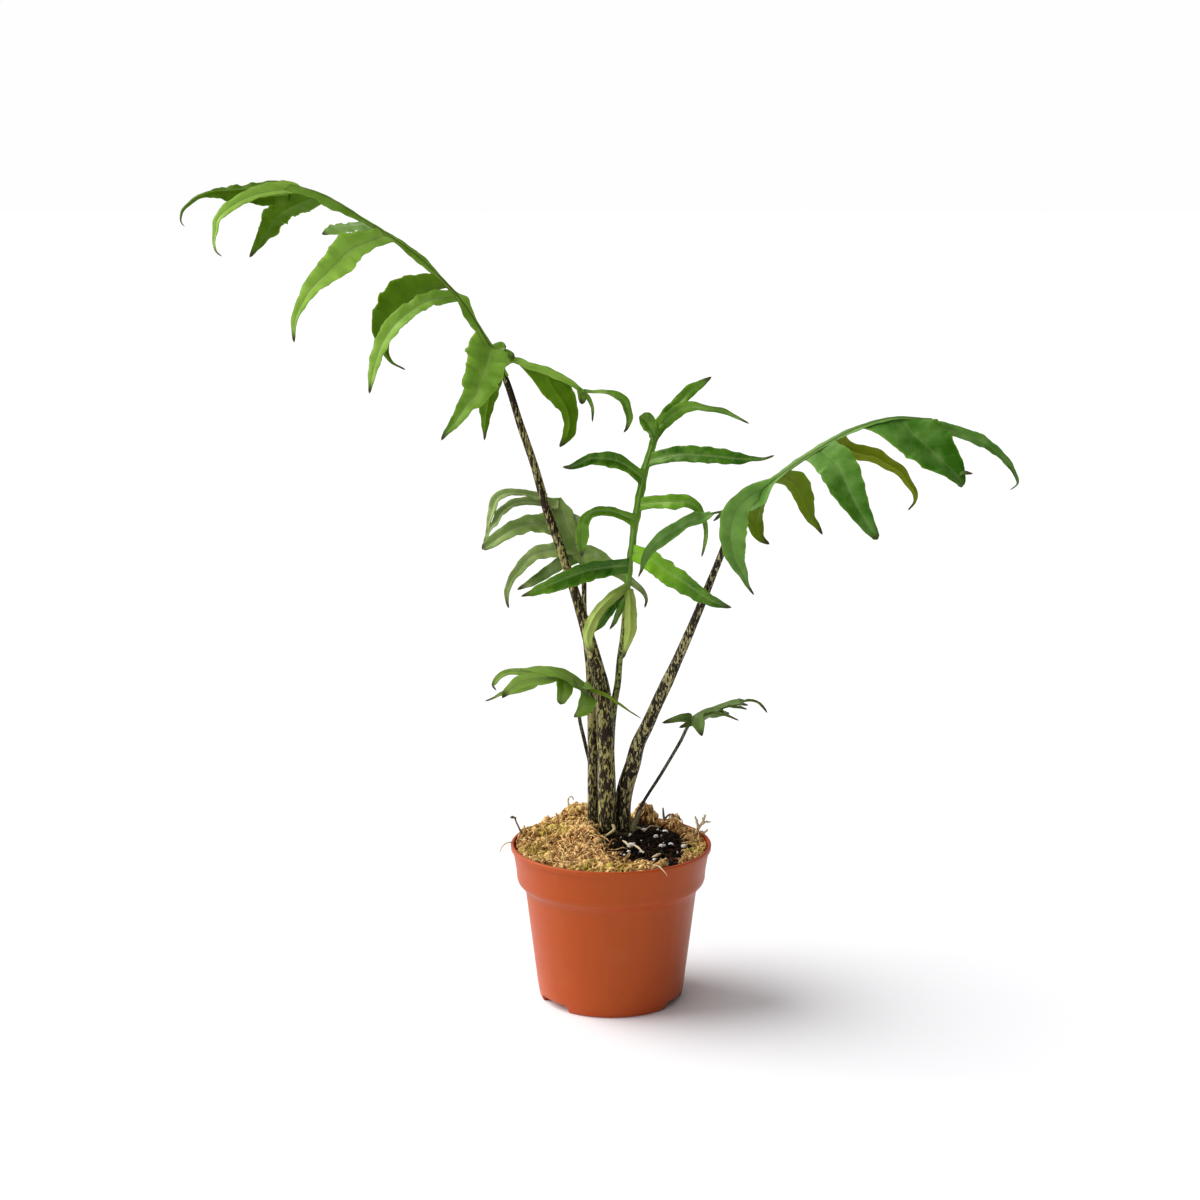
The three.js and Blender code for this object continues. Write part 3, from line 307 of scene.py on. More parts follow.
# %% Shells turned the right way out, and joined
def outwards(part):
    """Turns every face round if the part's signed volume is negative. The volume is
    a sixth of the sum of a . (b x c) over its triangles."""
    verts = part["verts"] - part["verts"].mean(0)
    quads = part["quads"]
    faces = np.concatenate([quads[:, :3], quads[:, [0, 2, 3]], part["tris"]])
    a, b, c = verts[faces].transpose(1, 0, 2)
    if np.einsum("ij,ij->i", a, np.cross(b, c)).sum() < 0:
        part["quads"] = quads[:, ::-1]
        part["tris"] = part["tris"][:, ::-1]
    return part


def joined(parts):
    """Several parts as one: vertex numbers are moved on by the vertices before."""
    shifts = np.cumsum([0] + [len(p["verts"]) for p in parts[:-1]])
    names = sorted({name for p in parts for name in p["marks"]})
    marks = {name: np.concatenate([p["marks"].get(name, np.zeros(len(p["verts"]))) for p in parts])
             for name in names}  # a part without a mark has zeros
    return {"verts": np.concatenate([p["verts"] for p in parts]),
            "quads": np.concatenate([p["quads"] + s for p, s in zip(parts, shifts)]),
            "tris": np.concatenate([p["tris"] + s for p, s in zip(parts, shifts)]), "marks": marks}


# %% A part becomes an object
def build(name, part, material, nodes=()):
    """Puts a part into a new object, rides it on the root body, names its slot and
    hides the frame's nodes that it stands for."""
    mesh = bpy.data.meshes.new(name)
    corners = np.concatenate([part["quads"].ravel(), part["tris"].ravel()]).astype(np.int32)
    sizes = np.r_[np.full(len(part["quads"]), 4), np.full(len(part["tris"]), 3)]
    mesh.vertices.add(len(part["verts"]))
    mesh.vertices.foreach_set("co", (part["verts"] * MM).astype(np.float32).ravel())
    mesh.loops.add(len(corners))
    mesh.loops.foreach_set("vertex_index", corners)
    mesh.polygons.add(len(sizes))
    mesh.polygons.foreach_set("loop_start", (np.cumsum(sizes) - sizes).astype(np.int32))
    mesh.update(calc_edges=True)
    mesh.polygons.foreach_set("use_smooth", np.ones(len(sizes), bool))
    for mark, values in part["marks"].items():
        attribute = mesh.attributes.new(mark, "FLOAT", "POINT")
        attribute.data.foreach_set("value", values.astype(np.float32))
    mesh.materials.append(material)
    piece = bpy.data.objects.new(name, mesh)
    scene.collection.objects.link(piece)
    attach(piece, "root")
    if nodes:
        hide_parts(*nodes)
    print(f"{name}: {len(part['verts'])} vertices, {int((sizes - 2).sum())} triangles")
    return piece

# %% [markdown]
# ## The pot
#
# A nursery pot is injection moulded from polypropylene in one shot. It has a
# rolled lip, a deep collar that stacked pots rest on, a small step, and a wall
# that tapers so that the pot leaves its mould. Water leaves by holes in the floor
# and by notches in the foot.
#
# It could be a lathed cylinder with cuts made by booleans. But a lathe is a
# profile carried round an axis, which is one array, and the notches are only
# places where the foot's lowest points are lifted. So both are formulas here. The
# drain holes do go right through a closed floor, and a boolean cuts them best.

# %% Pot: its profile, with every corner rounded
RIM, HEIGHT, FOOT, WALL, FLOOR_TOP = 60.0, 95.0, 42.5, 1.6, 5.5
STEP, STEP_FOOT, COLLAR, COLLAR_FOOT = 51.0, 65.0, 56.2, 74.0
PAD, CHANNEL, FOOT_WIDTH = 17.0, 3.5, 6.0
THROAT = RIM - 1.6


def rounded(corners, steps=6):
    """An outline of rows (r, z, reach). Each corner gives way to a curve that leaves
    it reach before the corner and joins it reach after: (1-t)^2 a + 2t(1-t) b + t^2 c."""
    corners = np.array(corners, float)
    inner, reach = corners[1:-1, :2], corners[1:-1, 2:]
    back = corners[:-2, :2] - inner
    on = corners[2:, :2] - inner
    a = inner + back / np.linalg.norm(back, axis=1, keepdims=True) * reach
    c = inner + on / np.linalg.norm(on, axis=1, keepdims=True) * reach
    t = np.linspace(0, 1, steps)[:, None, None]
    bends = (1 - t) ** 2 * a + 2 * t * (1 - t) * inner + t**2 * c
    return np.concatenate([corners[:1, :2], bends.transpose(1, 0, 2).reshape(-1, 2), corners[-1:, :2]])


pot_outline = rounded([  # from the middle of the underside, up the outside and down the inside
    (0.02, 0, 0), (PAD, 0, 0.6), (PAD + 2, CHANNEL, 0.8), (FOOT - FOOT_WIDTH - 2, CHANNEL, 0.8),
    (FOOT - FOOT_WIDTH, 0, 0.6), (FOOT, 0, 1.6), (FOOT + 1.3, 6, 2.5), (STEP, STEP_FOOT, 1.2),
    (STEP + 0.9, STEP_FOOT + 3.2, 0.6), (COLLAR - 0.5, COLLAR_FOOT - 1.6, 0.7),
    (COLLAR + 0.1, COLLAR_FOOT + 0.6, 0.9), (COLLAR + 0.5, 80, 1.5), (THROAT - 0.1, 89.5, 1.0),
    (THROAT + 0.2, HEIGHT - 3.3, 0.25), (RIM - 0.2, HEIGHT - 3.1, 0.3), (RIM, HEIGHT - 0.3, 0.8),
    (RIM - 1.7, HEIGHT, 0.45), (THROAT - 1.1, 89, 1.5), (COLLAR + 0.3 - WALL, 80, 1.5),
    (COLLAR - WALL, COLLAR_FOOT, 1.5), (STEP - WALL, STEP_FOOT, 1.5),
    (FOOT - WALL + 0.2, FLOOR_TOP + 2, 1.5), (FOOT - WALL - 2, FLOOR_TOP, 1.0), (0.02, FLOOR_TOP, 0),
])
print("pot profile has", len(pot_outline), "points")

# %% Pot: carried round the axis, with its notched foot
NOTCHES, NOTCH_HEIGHT, NOTCH_HALF, FIRST_NOTCH = 3, 4.5, 17.0, -24.0
NOTCH_EASE = 2.5  # degrees
POT_SEGMENTS = 240


def turned(outline, segments):
    """A closed lathe: ring j is the outline turned by j steps about the z axis. The
    outline starts and ends on the axis, so its first and last points are poles."""
    turn = np.linspace(0, 2 * np.pi, segments, endpoint=False)
    r, z = outline[:, :1], outline[:, 1:]
    rings = np.stack([r * np.cos(turn), r * np.sin(turn), np.broadcast_to(z, (len(z), segments))], -1)
    return outwards(shells(rings[None]))


def notch_depth(verts):
    """How far the foot is cut up: the notch height within NOTCH_HALF degrees of the
    middle of a notch, falling to nothing over NOTCH_EASE degrees."""
    degrees = np.degrees(np.arctan2(verts[:, 1], verts[:, 0]))
    span = 360 / NOTCHES
    away = np.abs((degrees - FIRST_NOTCH + span / 2) % span - span / 2)
    in_foot = np.hypot(verts[:, 0], verts[:, 1]) > FOOT - FOOT_WIDTH - 1.5
    return np.where(in_foot, NOTCH_HEIGHT * smooth((NOTCH_HALF - away) / NOTCH_EASE + 0.5), 0)


pot = turned(pot_outline, POT_SEGMENTS)
pot["verts"][:, 2] = np.maximum(pot["verts"][:, 2], notch_depth(pot["verts"]))
print("pot has", NOTCHES, "notches in its foot")

# %% [markdown]
# Terracotta-coloured polypropylene is soft and waxy: its gloss is broad, because
# the steel mould was spark-eroded to a fine matt grain. That gives the eye a satin
# sheen with no sharp highlight. Flow of the plastic leaves the faintest streaks up
# the wall, and handling leaves dull smears all over it.

# %% Finish: moulded polypropylene
MOULD_GRAIN = 0.35 * MM
FLOW_STREAK = 9 * MM
STREAK_DRAW = 0.12  # a streak is about eight times as long as it is wide
SMEAR = 25 * MM

pot_plastic, tree, shader = new_material("moulded_polypropylene_terracotta")
place = add(tree, "TexCoord").outputs["Object"]
drawn = add(tree, "Mapping", {"Vector": place, "Scale": (1, 1, STREAK_DRAW)})
streaks = add(tree, "TexNoise", {"Vector": drawn, "Scale": 1 / FLOW_STREAK, "Detail": 3.0})
smears = add(tree, "TexNoise", {"Vector": place, "Scale": 1 / SMEAR, "Detail": 5.0, "Roughness": 0.6})
grain = add(tree, "TexNoise", {"Vector": place, "Scale": 1 / MOULD_GRAIN, "Detail": 2.0})
streaked = add(tree, "Mix", {"Factor": streaks, "A": linear("#a83e12"), "B": linear("#b04616")},
               data_type="RGBA")
dull = add(tree, "MapRange", {"Value": smears, "From Min": 0.52, "From Max": 0.78, "To Max": 0.2},
           interpolation_type="SMOOTHSTEP")
dusty = add(tree, "Mix", {"Factor": dull, "A": streaked, "B": linear("#b06a40")}, data_type="RGBA")
gloss = add(tree, "MapRange", {"Value": smears, "From Min": 0.3, "From Max": 0.7,
                               "To Min": 0.36, "To Max": 0.48})
relief = add(tree, "Bump", {"Height": grain, "Strength": 0.12, "Distance": 0.05 * MM})
feed(tree, shader, {"Base Color": dusty, "Roughness": gloss, "Normal": relief, "IOR": 1.49,
                    "Specular IOR Level": 0.5, "Specular Tint": linear("#ffe6ac")})
print(pot_plastic.name, "has", len(tree.nodes), "nodes")

# %% Pot: its drain holes
DRAINS, DRAIN_RADIUS, DRAIN_CIRCLE, DRILL_SIDES = 6, 3.5, 26.0, 24

pot_piece = build("nursery_pot", pot, pot_plastic, ["pot"])
drill_path = np.array([[[0, 0, -FLOOR_TOP], [0, 0, 2 * FLOOR_TOP]]])
around = 2 * np.pi * (np.arange(DRAINS) + 0.5) / DRAINS
spots = DRAIN_CIRCLE * np.stack([np.cos(around), np.sin(around), 0 * around], -1)[:, None]
drills = tubes(drill_path + spots, np.full((DRAINS, 2), DRAIN_RADIUS), DRILL_SIDES)
drill_faces = drills["quads"].tolist() + drills["tris"].tolist()
drill_mesh = bpy.data.meshes.new("drain_drills")
drill_mesh.from_pydata((drills["verts"] * MM).tolist(), [], drill_faces)
drill = bpy.data.objects.new("drain_drills", drill_mesh)
scene.collection.objects.link(drill)
cut = pot_piece.modifiers.new("drain_holes", "BOOLEAN")
cut.operation = "DIFFERENCE"
cut.object = drill
bpy.context.view_layer.update()
bored = bpy.data.meshes.new_from_object(pot_piece.evaluated_get(bpy.context.evaluated_depsgraph_get()))
pot_piece.modifiers.clear()
pot_piece.data = bored
bpy.data.objects.remove(drill)
print("pot has", len(bored.polygons), "faces once bored")

# %% [markdown]
# ## The potting mix
#
# The plant grows in peat with perlite. The bed is a low mound around the stem. It
# is a lathe again, whose top is lifted by lumps of three sizes, because peat breaks
# into clods, the clods into crumbs and the crumbs into dust. Loose crumbs, brown
# root fibres and small white bits of perlite are strewn over it where no moss lies.
#
# A crumb is a ball of five rings, pushed about at random, so a thousand of them
# still make a light mesh.

# %% How high the mix stands, and where the moss begins
SOIL_EDGE, SOIL_CROWN, SOIL_REACH = 89.0, 98.3, 46.0
CROWN_X, CROWN_Y, CROWN_HALF_WIDTH, CROWN_HALF_DEPTH, CROWN_TOP = 1.0, 14.0, 17.0, 15.0, 99.5
SHOULDER_X, SHOULDER_Y, SHOULDER, SHOULDER_REACH = 34.0, -38.0, 3.0, 14.0
MIX_REACH, MOSS_REACH = 54.0, 56.2
MAT_SPAN, FRINGE_SPAN = (54.0, 306.0), (-44.0, 52.0)  # degrees round the pot, from x
MAT_INNER = [  # degrees, and how far from the axis the moss begins there
    [54, 47], [80, 34], [100, 31], [130, 25], [160, 17], [180, 13], [200, 11],
    [225, 11], [250, 19], [270, 23], [285, 32], [295, 44], [306, 52],
]
FRINGE_INNER = [[-44, 54], [-20, 50], [10, 50], [30, 50], [52, 50]]


def soil_height(x, y):
    """A mound around the stem: edge + (crown - edge) smooth(1.15 - distance / reach),
    and a low shoulder at the front right, shoulder exp(-(distance / reach)^2)."""
    away = np.hypot(x - CROWN_X, y - CROWN_Y)
    mound = SOIL_EDGE + (SOIL_CROWN - SOIL_EDGE) * smooth(1.15 - away / SOIL_REACH)
    from_shoulder = np.hypot(x - SHOULDER_X, y - SHOULDER_Y) / SHOULDER_REACH
    return mound + SHOULDER * np.exp(-(from_shoulder**2))


def degrees_round(x, y):
    """The angle of a point about the pot's axis, counted on from the fringe's start."""
    degrees = np.degrees(np.arctan2(y, x))
    return np.where(degrees < FRINGE_SPAN[0], degrees + 360, degrees)


def bare_reach(x, y):
    """How far from the pot's axis the bare mix runs in the direction of a point."""
    mat, fringe = (np.interp(degrees_round(x, y), *np.transpose(inner), left=MIX_REACH, right=MIX_REACH)
                   for inner in (MAT_INNER, FRINGE_INNER))
    return np.minimum(mat, fringe)


def strewn(count, seed, inside, reach=MIX_REACH):
    """Seeded places within reach of the pot's axis for which inside(x, y) is true:
    the first of them out of many times their number."""
    dice = np.random.default_rng(seed)
    x, y = dice.uniform(-reach, reach, (2, 40 * count))
    kept = inside(x, y) & (np.hypot(x, y) < reach)
    return np.stack([x[kept][:count], y[kept][:count]], -1)


def on_bare_mix(x, y):
    """Within the bare part or just under the moss's edge, and off the stem's top."""
    on_crown = ((x - CROWN_X) / CROWN_HALF_WIDTH) ** 2 + ((y - CROWN_Y) / CROWN_HALF_DEPTH) ** 2 < 0.8
    return (np.hypot(x, y) < bare_reach(x, y) + 1.5) & ~on_crown


print("mix stands", SOIL_EDGE, "mm high at the wall and", SOIL_CROWN, "mm at the stem")

# %% The bed itself
BED_SEGMENTS, BED_RINGS = 200, 120
BED_FOOT, BED_SUNK = 5.9, 0.6  # its underside, and how much lower it lies than its crumbs
CLODS = ((7.0, 0.9), (2.6, 0.55), (1.1, 0.3))  # size across and height

side = rounded([(0.02, BED_FOOT, 0), (FOOT - WALL - 2.6, BED_FOOT, 1), (FOOT - WALL - 0.8, 8, 1),
                (STEP - WALL - 0.5, STEP_FOOT, 1), (COLLAR - WALL - 0.5, COLLAR_FOOT, 1),
                (COLLAR - WALL - 0.5, SOIL_EDGE - 1.5, 0.5), (COLLAR - WALL - 0.8, SOIL_EDGE - 0.8, 0)], 3)
top = np.stack([np.linspace(MIX_REACH - 0.4, 0.02, BED_RINGS), np.zeros(BED_RINGS)], -1)
bed = turned(np.concatenate([side, top]), BED_SEGMENTS)
spot = bed["verts"]
lifted = spot[:, 2] == 0
flat = spot[lifted] * (1, 1, 0)
bumps = sum(height * waves(flat, size, 11 + i) for i, (size, height) in enumerate(CLODS))
spot[lifted, 2] = soil_height(spot[lifted, 0], spot[lifted, 1]) + bumps - BED_SUNK
bed["marks"] = {"tone": np.full(len(spot), 0.2)}
print("bed has", len(spot), "points")

# %% Crumbs: rough balls, strewn by the hundred
CRUMBS, CRUMB_SIZES = 1300, (0.45, 1.75)


def lumps(spots, sizes, seed, rings=5, sides=7, rough=0.22, stretch=0.35, marks=None):
    """Rough balls: ring a is at latitude pi a / (rings + 1) and each of its points is
    moved in or out by a seeded share of the radius. Each ball is stretched along
    its own axes and turned at random. sizes are radii, and marks one for each ball."""
    dice = np.random.default_rng(seed)
    count = len(spots)
    latitude = np.pi * np.arange(1, rings + 1)[:, None] / (rings + 1)
    turn = np.linspace(0, 2 * np.pi, sides, endpoint=False)
    ball = np.stack([np.sin(latitude) * np.cos(turn), np.sin(latitude) * np.sin(turn),
                     np.cos(latitude) + 0 * turn], -1)
    shape = ball * (1 + rough * dice.uniform(-1, 1, (count, rings, sides, 1)))
    shape = shape * (1 + stretch * dice.uniform(-1, 1, (count, 1, 1, 3)))
    frames = np.linalg.qr(dice.normal(size=(count, 3, 3)))[0]
    shape = np.einsum("nrsi,nij->nrsj", shape, frames) * np.asarray(sizes)[:, None, None, None]
    kept = {"tone": dice.uniform(0, 1, count), **(marks or {})}
    return shells(shape + np.asarray(spots)[:, None, None, :],
                  {name: value[:, None, None] for name, value in kept.items()})


def drawn_sizes(dice, span, count, skew):
    """Seeded sizes within a span, more of them small the larger skew is."""
    return span[0] + (span[1] - span[0]) * dice.uniform(0, 1, count) ** skew


dice = np.random.default_rng(5)
places = strewn(CRUMBS, 6, on_bare_mix)
crumb_sizes = drawn_sizes(dice, CRUMB_SIZES, len(places), 2.5)
crumb_tops = soil_height(*places.T) + 0.35 * crumb_sizes - 0.3
crumbs = lumps(np.column_stack([places, crumb_tops]), crumb_sizes, 7)
print(len(places), "crumbs")

# %% Fibres: thin tubes that bend a little and rise out of the mix
FIBRES, FIBRE_STATIONS, FIBRE_SIDES = 150, 9, 5
FIBRE_LENGTHS, FIBRE_RADII, FIBRE_RISE = (4, 12), (0.12, 0.3), (0.1, 1.6)

places = strewn(FIBRES, 8, on_bare_mix)
each = (len(places), 1)
heading = dice.uniform(0, 2 * np.pi, each)
along = np.linspace(-0.5, 0.5, FIBRE_STATIONS) * dice.uniform(*FIBRE_LENGTHS, each)
heading = heading + along * dice.normal(0, 0.12, each)
x = places[:, :1] + along * np.cos(heading)
y = places[:, 1:] + along * np.sin(heading)
rise = dice.uniform(*FIBRE_RISE, each) * np.cos(along * 0.4)
fibre_paths = np.stack([x, y, soil_height(x, y) + rise], -1)
fibre_radii = np.broadcast_to(dice.uniform(*FIBRE_RADII, each), x.shape)
fibres = tubes(fibre_paths, fibre_radii, FIBRE_SIDES, {"tone": dice.uniform(1.2, 2.0, each)})
print(len(places), "fibres")

# %% [markdown]
# Damp peat is nearly black and dull, because its fibres hold the light. Its dust is
# a noise in the colour and in the relief, and a tone above 1 turns it fibre brown.

# %% Finish: damp peat
PEAT_GRAIN = 1.6 * MM

peat_mix, tree, shader = new_material("damp_peat_and_bark_fines")
place = add(tree, "TexCoord").outputs["Object"]
tone = add(tree, "Attribute", attribute_name="tone").outputs["Fac"]
dust = add(tree, "TexNoise", {"Vector": place, "Scale": 1 / PEAT_GRAIN, "Detail": 4.0, "Roughness": 0.7})
earth = add(tree, "Mix", {"Factor": dust, "A": linear("#080604"), "B": linear("#22160e")},
            data_type="RGBA")
brown = add(tree, "MapRange", {"Value": tone, "From Min": 0.8, "From Max": 1.7, "To Max": 0.85})
fibrous = add(tree, "Mix", {"Factor": brown, "A": earth, "B": linear("#5d3b22")}, data_type="RGBA")
relief = add(tree, "Bump", {"Height": dust, "Strength": 0.8, "Distance": 0.4 * MM})
feed(tree, shader, {"Base Color": fibrous, "Normal": relief, "Roughness": 0.85,
                    "Specular IOR Level": 0.12})
build("potting_bed", joined([bed, crumbs, fibres]), peat_mix, ["potting_mix"])

# %% [markdown]
# ## Perlite
#
# Perlite is volcanic glass that was heated until it popped, so a grain is a white,
# dull, knobbly lump. The twelve grains of the frame are rebuilt one by one with
# finer knobs, and some smaller ones lie between them.

# %% Finish: popped perlite
PERLITE_PIT = 0.7 * MM

perlite, tree, shader = new_material("popped_perlite")
place = add(tree, "TexCoord").outputs["Object"]
pits = add(tree, "TexNoise", {"Vector": place, "Scale": 1 / PERLITE_PIT, "Detail": 4.0})
chalk = add(tree, "Mix", {"Factor": pits, "A": linear("#ddd6c8"), "B": linear("#ffffff")},
            data_type="RGBA")
relief = add(tree, "Bump", {"Height": pits, "Strength": 0.6, "Distance": 0.25 * MM})
feed(tree, shader, {"Base Color": chalk, "Normal": relief, "Roughness": 0.85})
print(perlite.name, "has", len(tree.nodes), "nodes")

# %% Perlite grains
GRAIN_RADIUS, GRAIN_KNOB, KNOB_HEIGHT = 1.75, 0.9, 0.17
GRAINS = [  # x, y and how long the grain is for its width
    (20, 18, 1.5), (27, 10, 1), (36, 3, 1.2), (44, 5, 1), (39, -7, 1), (26, -24, 1.3),
    (30, -3, 0.9), (12, -9, 1.6), (18, -15, 1.4), (33, -38, 1), (42, -24, 1), (33, 27, 1.2),
]
SMALL_GRAINS, SMALL_GRAIN_SIZES = 36, (0.35, 1.1)

for index, (x, y, long) in enumerate(GRAINS):
    size = GRAIN_RADIUS * (0.75 + 0.12 * (index % 4))  # four sizes, in turn
    ball = lumps([[0, 0, 0]], [1.0], 40 + index, rings=11, sides=16, rough=0.07, stretch=0.0)
    knobs = 1 + KNOB_HEIGHT * waves(ball["verts"], GRAIN_KNOB, 60 + index)
    shape = ball["verts"] * knobs[:, None] * 0.95 * (size * long, size, size * 0.8)
    cos, sin = math.cos(index * 1.9), math.sin(index * 1.9)
    spin = np.array([[cos, sin, 0], [-sin, cos, 0], [0, 0, 1]])
    ball["verts"] = shape @ spin + (x, y, float(soil_height(x, y)) + size * 0.5)
    build(f"perlite_grain_{index + 1}", ball, perlite, [f"perlite_{index + 1}"])

places = strewn(SMALL_GRAINS, 9, on_bare_mix)
small_sizes = drawn_sizes(dice, SMALL_GRAIN_SIZES, len(places), 2)
small = lumps(np.column_stack([places, soil_height(*places.T) + 0.8]), small_sizes, 10)
build("perlite_crumbs", small, perlite)

# %% [markdown]
# ## The moss
#
# Dried long-fibre sphagnum covers most of the bed. It is a felt of soft strands,
# each a stem with tiny leaves pressed to it, straw-coloured and here and there
# still green. Under them lies a lumpy body, so that no gap shows the pot; it takes
# the darkest tone, painted shade in the gaps. Old felt crumbles: what the eye sees
# first are clumps of dry leaves, a few millimetres across, with deep gaps between
# them, and strands only here and there.
#
# So the clumps are the same rough balls as the crumbs, some high and pale, some
# low and dark. Their tones are partly the straw's own and partly painted light and
# shade: pale clumps are set high, dark ones low, and those in hollows are darkened,
# to paint the shade in the gaps. A strand is a tube of five sides that swells and
# shrinks along its length. Each one starts inside the felt, arches out of it and
# dives back. Hundreds of them need one array, since every path has equal stations.

# %% The shape of the felt
MOSS_THICKNESS, MOSS_LUMPS = 4.5, 0.9
FELT_FUZZ, FUZZ_SIZE, FELT_SUNK = 0.7, 3.0, 2.2  # its lumps, and how far it is under the clumps
THINNING = 4  # millimetres over which the felt thins out to an edge
HEAPS = [  # x, y, height and reach
    (-21, 46, 9.5, 13), (21, 45, 10, 8), (-48, 16, 4.5, 14), (-50, -8, 2, 12),
    (-14, 0, 4, 11), (-38, 36, 4, 10), (48, 20, 3, 9), (40, 38, 6, 7),
]


def moss_depth(x, y):
    """4.5 + 0.9 sin(0.53 x + 1.3 sin 0.31 y) cos(0.47 y + 0.11 x), plus a flat-topped
    bell, height exp(-2 (distance / reach)^3), for each heap."""
    ripple = np.sin(0.53 * x + 1.3 * np.sin(0.31 * y)) * np.cos(0.47 * y + 0.11 * x)
    heaped = sum(high * np.exp(-2 * (np.hypot(x - hx, y - hy) / reach) ** 3)
                 for hx, hy, high, reach in HEAPS)
    return MOSS_THICKNESS + MOSS_LUMPS * ripple + heaped


def felt(span, inner, steps, lanes):
    """A closed body over a sector of the pot's mouth. Ring i is the section at angle i:
    along the bed from the inner edge to the wall, and back over the moss, which is
    lower than the clumps on it and thins out to its edges and ends."""
    degrees = np.linspace(*span, steps)
    turn = np.radians(degrees)[:, None]
    near = np.interp(degrees, *np.transpose(inner))[:, None]
    share = (1 - np.cos(np.linspace(0, np.pi, lanes))) / 2
    reach = near + (MOSS_REACH - near) * share
    x, y = reach * np.cos(turn), reach * np.sin(turn)
    from_edge = np.minimum(reach - near, (MOSS_REACH - reach) * 1.5 + 0.6)
    from_end = np.minimum(degrees - span[0], span[1] - degrees)[:, None] * 0.8
    full = smooth(np.minimum(from_edge, from_end) / THINNING)
    low = soil_height(x, y) + 0.3
    fuzz = FELT_FUZZ * waves(np.stack([x, y, 0 * x], -1), FUZZ_SIZE, 21)
    high = low + (moss_depth(x, y) - FELT_SUNK + fuzz) * (0.15 + 0.85 * full)
    rows = np.concatenate([np.stack([x, y, low], -1), np.stack([x, y, high], -1)[:, ::-1]], 1)
    # The felt takes the darkest tone: painted shade in the gaps between the clumps.
    return outwards(shells(rows[None], {"tone": 0.0, "green": 0.0}))


heap_depths = [float(moss_depth(x, y)) for x, y, high, reach in HEAPS]
print("moss is", round(max(heap_depths), 1), "mm deep on its highest heap")

# %% The clumps, and where the moss is still green or sunk
GREEN_PATCHES = [  # x, y and reach
    (-34, 18, 10), (-44, -16, 8), (-22, 44, 5), (50, -12, 7), (4, -47, 7), (-14, -47, 6),
]
# Hollows in the felt, where clumps lie lower and are darkened as painted shade
HOLLOWS = [  # x, y and reach
    (-33, 0, 5), (-39, -37, 7), (-52, 20, 6), (-17, 20, 5), (8, -52, 6), (-26, -14, 4), (52, 4, 6),
]
SUNK_IN = 0.9  # how far clumps and strands lie in the moss
CLUMP_TONE, CLUMP_TONES, TONE_SCATTER = 0.52, (0.0, 1.25), 0.4
PATCH_TONE, PATCH_SIZE = 0.35, 7.0  # paler and darker patches of clumps
# How much darker clumps in a hollow are, as painted shade, and how much lower they lie
HOLLOW_PAINTED_SHADE, HOLLOW_DEPTH = 0.7, 1.6
# Dark clumps are set low, so that their darkness paints the shade in the gaps
PALE_RISE, LEVEL_TONE, CLUMP_SCATTER = 2.2, 0.66, 0.45  # pale clumps lie high, dark ones low


def under(span):
    """A test for places, to go into strewn: under moss within this span of angles."""
    def covered(x, y):
        """Outside the bare mix, and within the span."""
        degrees = degrees_round(x, y)
        return (degrees > span[0]) & (degrees < span[1]) & (np.hypot(x, y) > bare_reach(x, y))
    return covered


def bells(spots, patches):
    """A bell curve for each patch, summed: exp(-(distance / reach)^2)."""
    return sum(np.exp(-((spots[:, 0] - x) ** 2 + (spots[:, 1] - y) ** 2) / reach**2)
               for x, y, reach in patches)


def greenness(spots, dice):
    """The green patches' bells, times a seeded number up to 2."""
    return bells(spots, GREEN_PATCHES) * dice.uniform(0, 2, len(spots))


def clumps(count, seed, covered, size):
    """Rough balls half sunk in the felt, each a little higher or lower than it is, and
    the low ones darker, more so in patches and in the listed hollows. The darkness is
    partly the straw's own tone and partly painted shade in the gaps and hollows. None
    comes nearer to the wall than twice its radius."""
    spots = strewn(count, seed, covered, MOSS_REACH + 1)
    dice = np.random.default_rng(seed + 1)
    sizes = drawn_sizes(dice, size, len(spots), 1.8)
    spots *= np.minimum(1, (MOSS_REACH + 2.2 - 2 * sizes) / np.hypot(*spots.T))[:, None]
    tone = CLUMP_TONE + PATCH_TONE * waves(np.column_stack([spots, 0 * sizes]), PATCH_SIZE, seed)
    sunk = bells(spots, HOLLOWS)
    # Clumps in a hollow are darker: painted shade.
    tone = tone - HOLLOW_PAINTED_SHADE * sunk + dice.normal(0, TONE_SCATTER, len(spots))
    tone = np.clip(tone, *CLUMP_TONES)
    z = soil_height(*spots.T) + moss_depth(*spots.T) - SUNK_IN
    # Dark clumps sink and pale ones rise, so the dark ones paint the shade in the gaps.
    z = z + PALE_RISE * (tone - LEVEL_TONE) - HOLLOW_DEPTH * sunk - 0.3 * sizes
    rim_top = np.where(np.hypot(*spots.T) > MOSS_REACH - 2, HEIGHT - 0.2, np.inf)
    z = np.minimum(z, rim_top) + dice.normal(0, CLUMP_SCATTER, len(spots))
    marks = {"tone": tone, "green": greenness(spots, dice)}
    return lumps(np.column_stack([spots, z]), sizes, seed + 2, rings=4, sides=6, rough=0.42,
                 stretch=0.55, marks=marks)


# %% The strands
STRAND_STATIONS, STRAND_SIDES, STRAND_BEADS = 9, 5, 0.28
STRAND_ARCH, STRAND_TONES = (0.6, 2.6), (0.15, 1.3)
STRAND_TURN, STRAND_TAPER = 0.7, 0.75


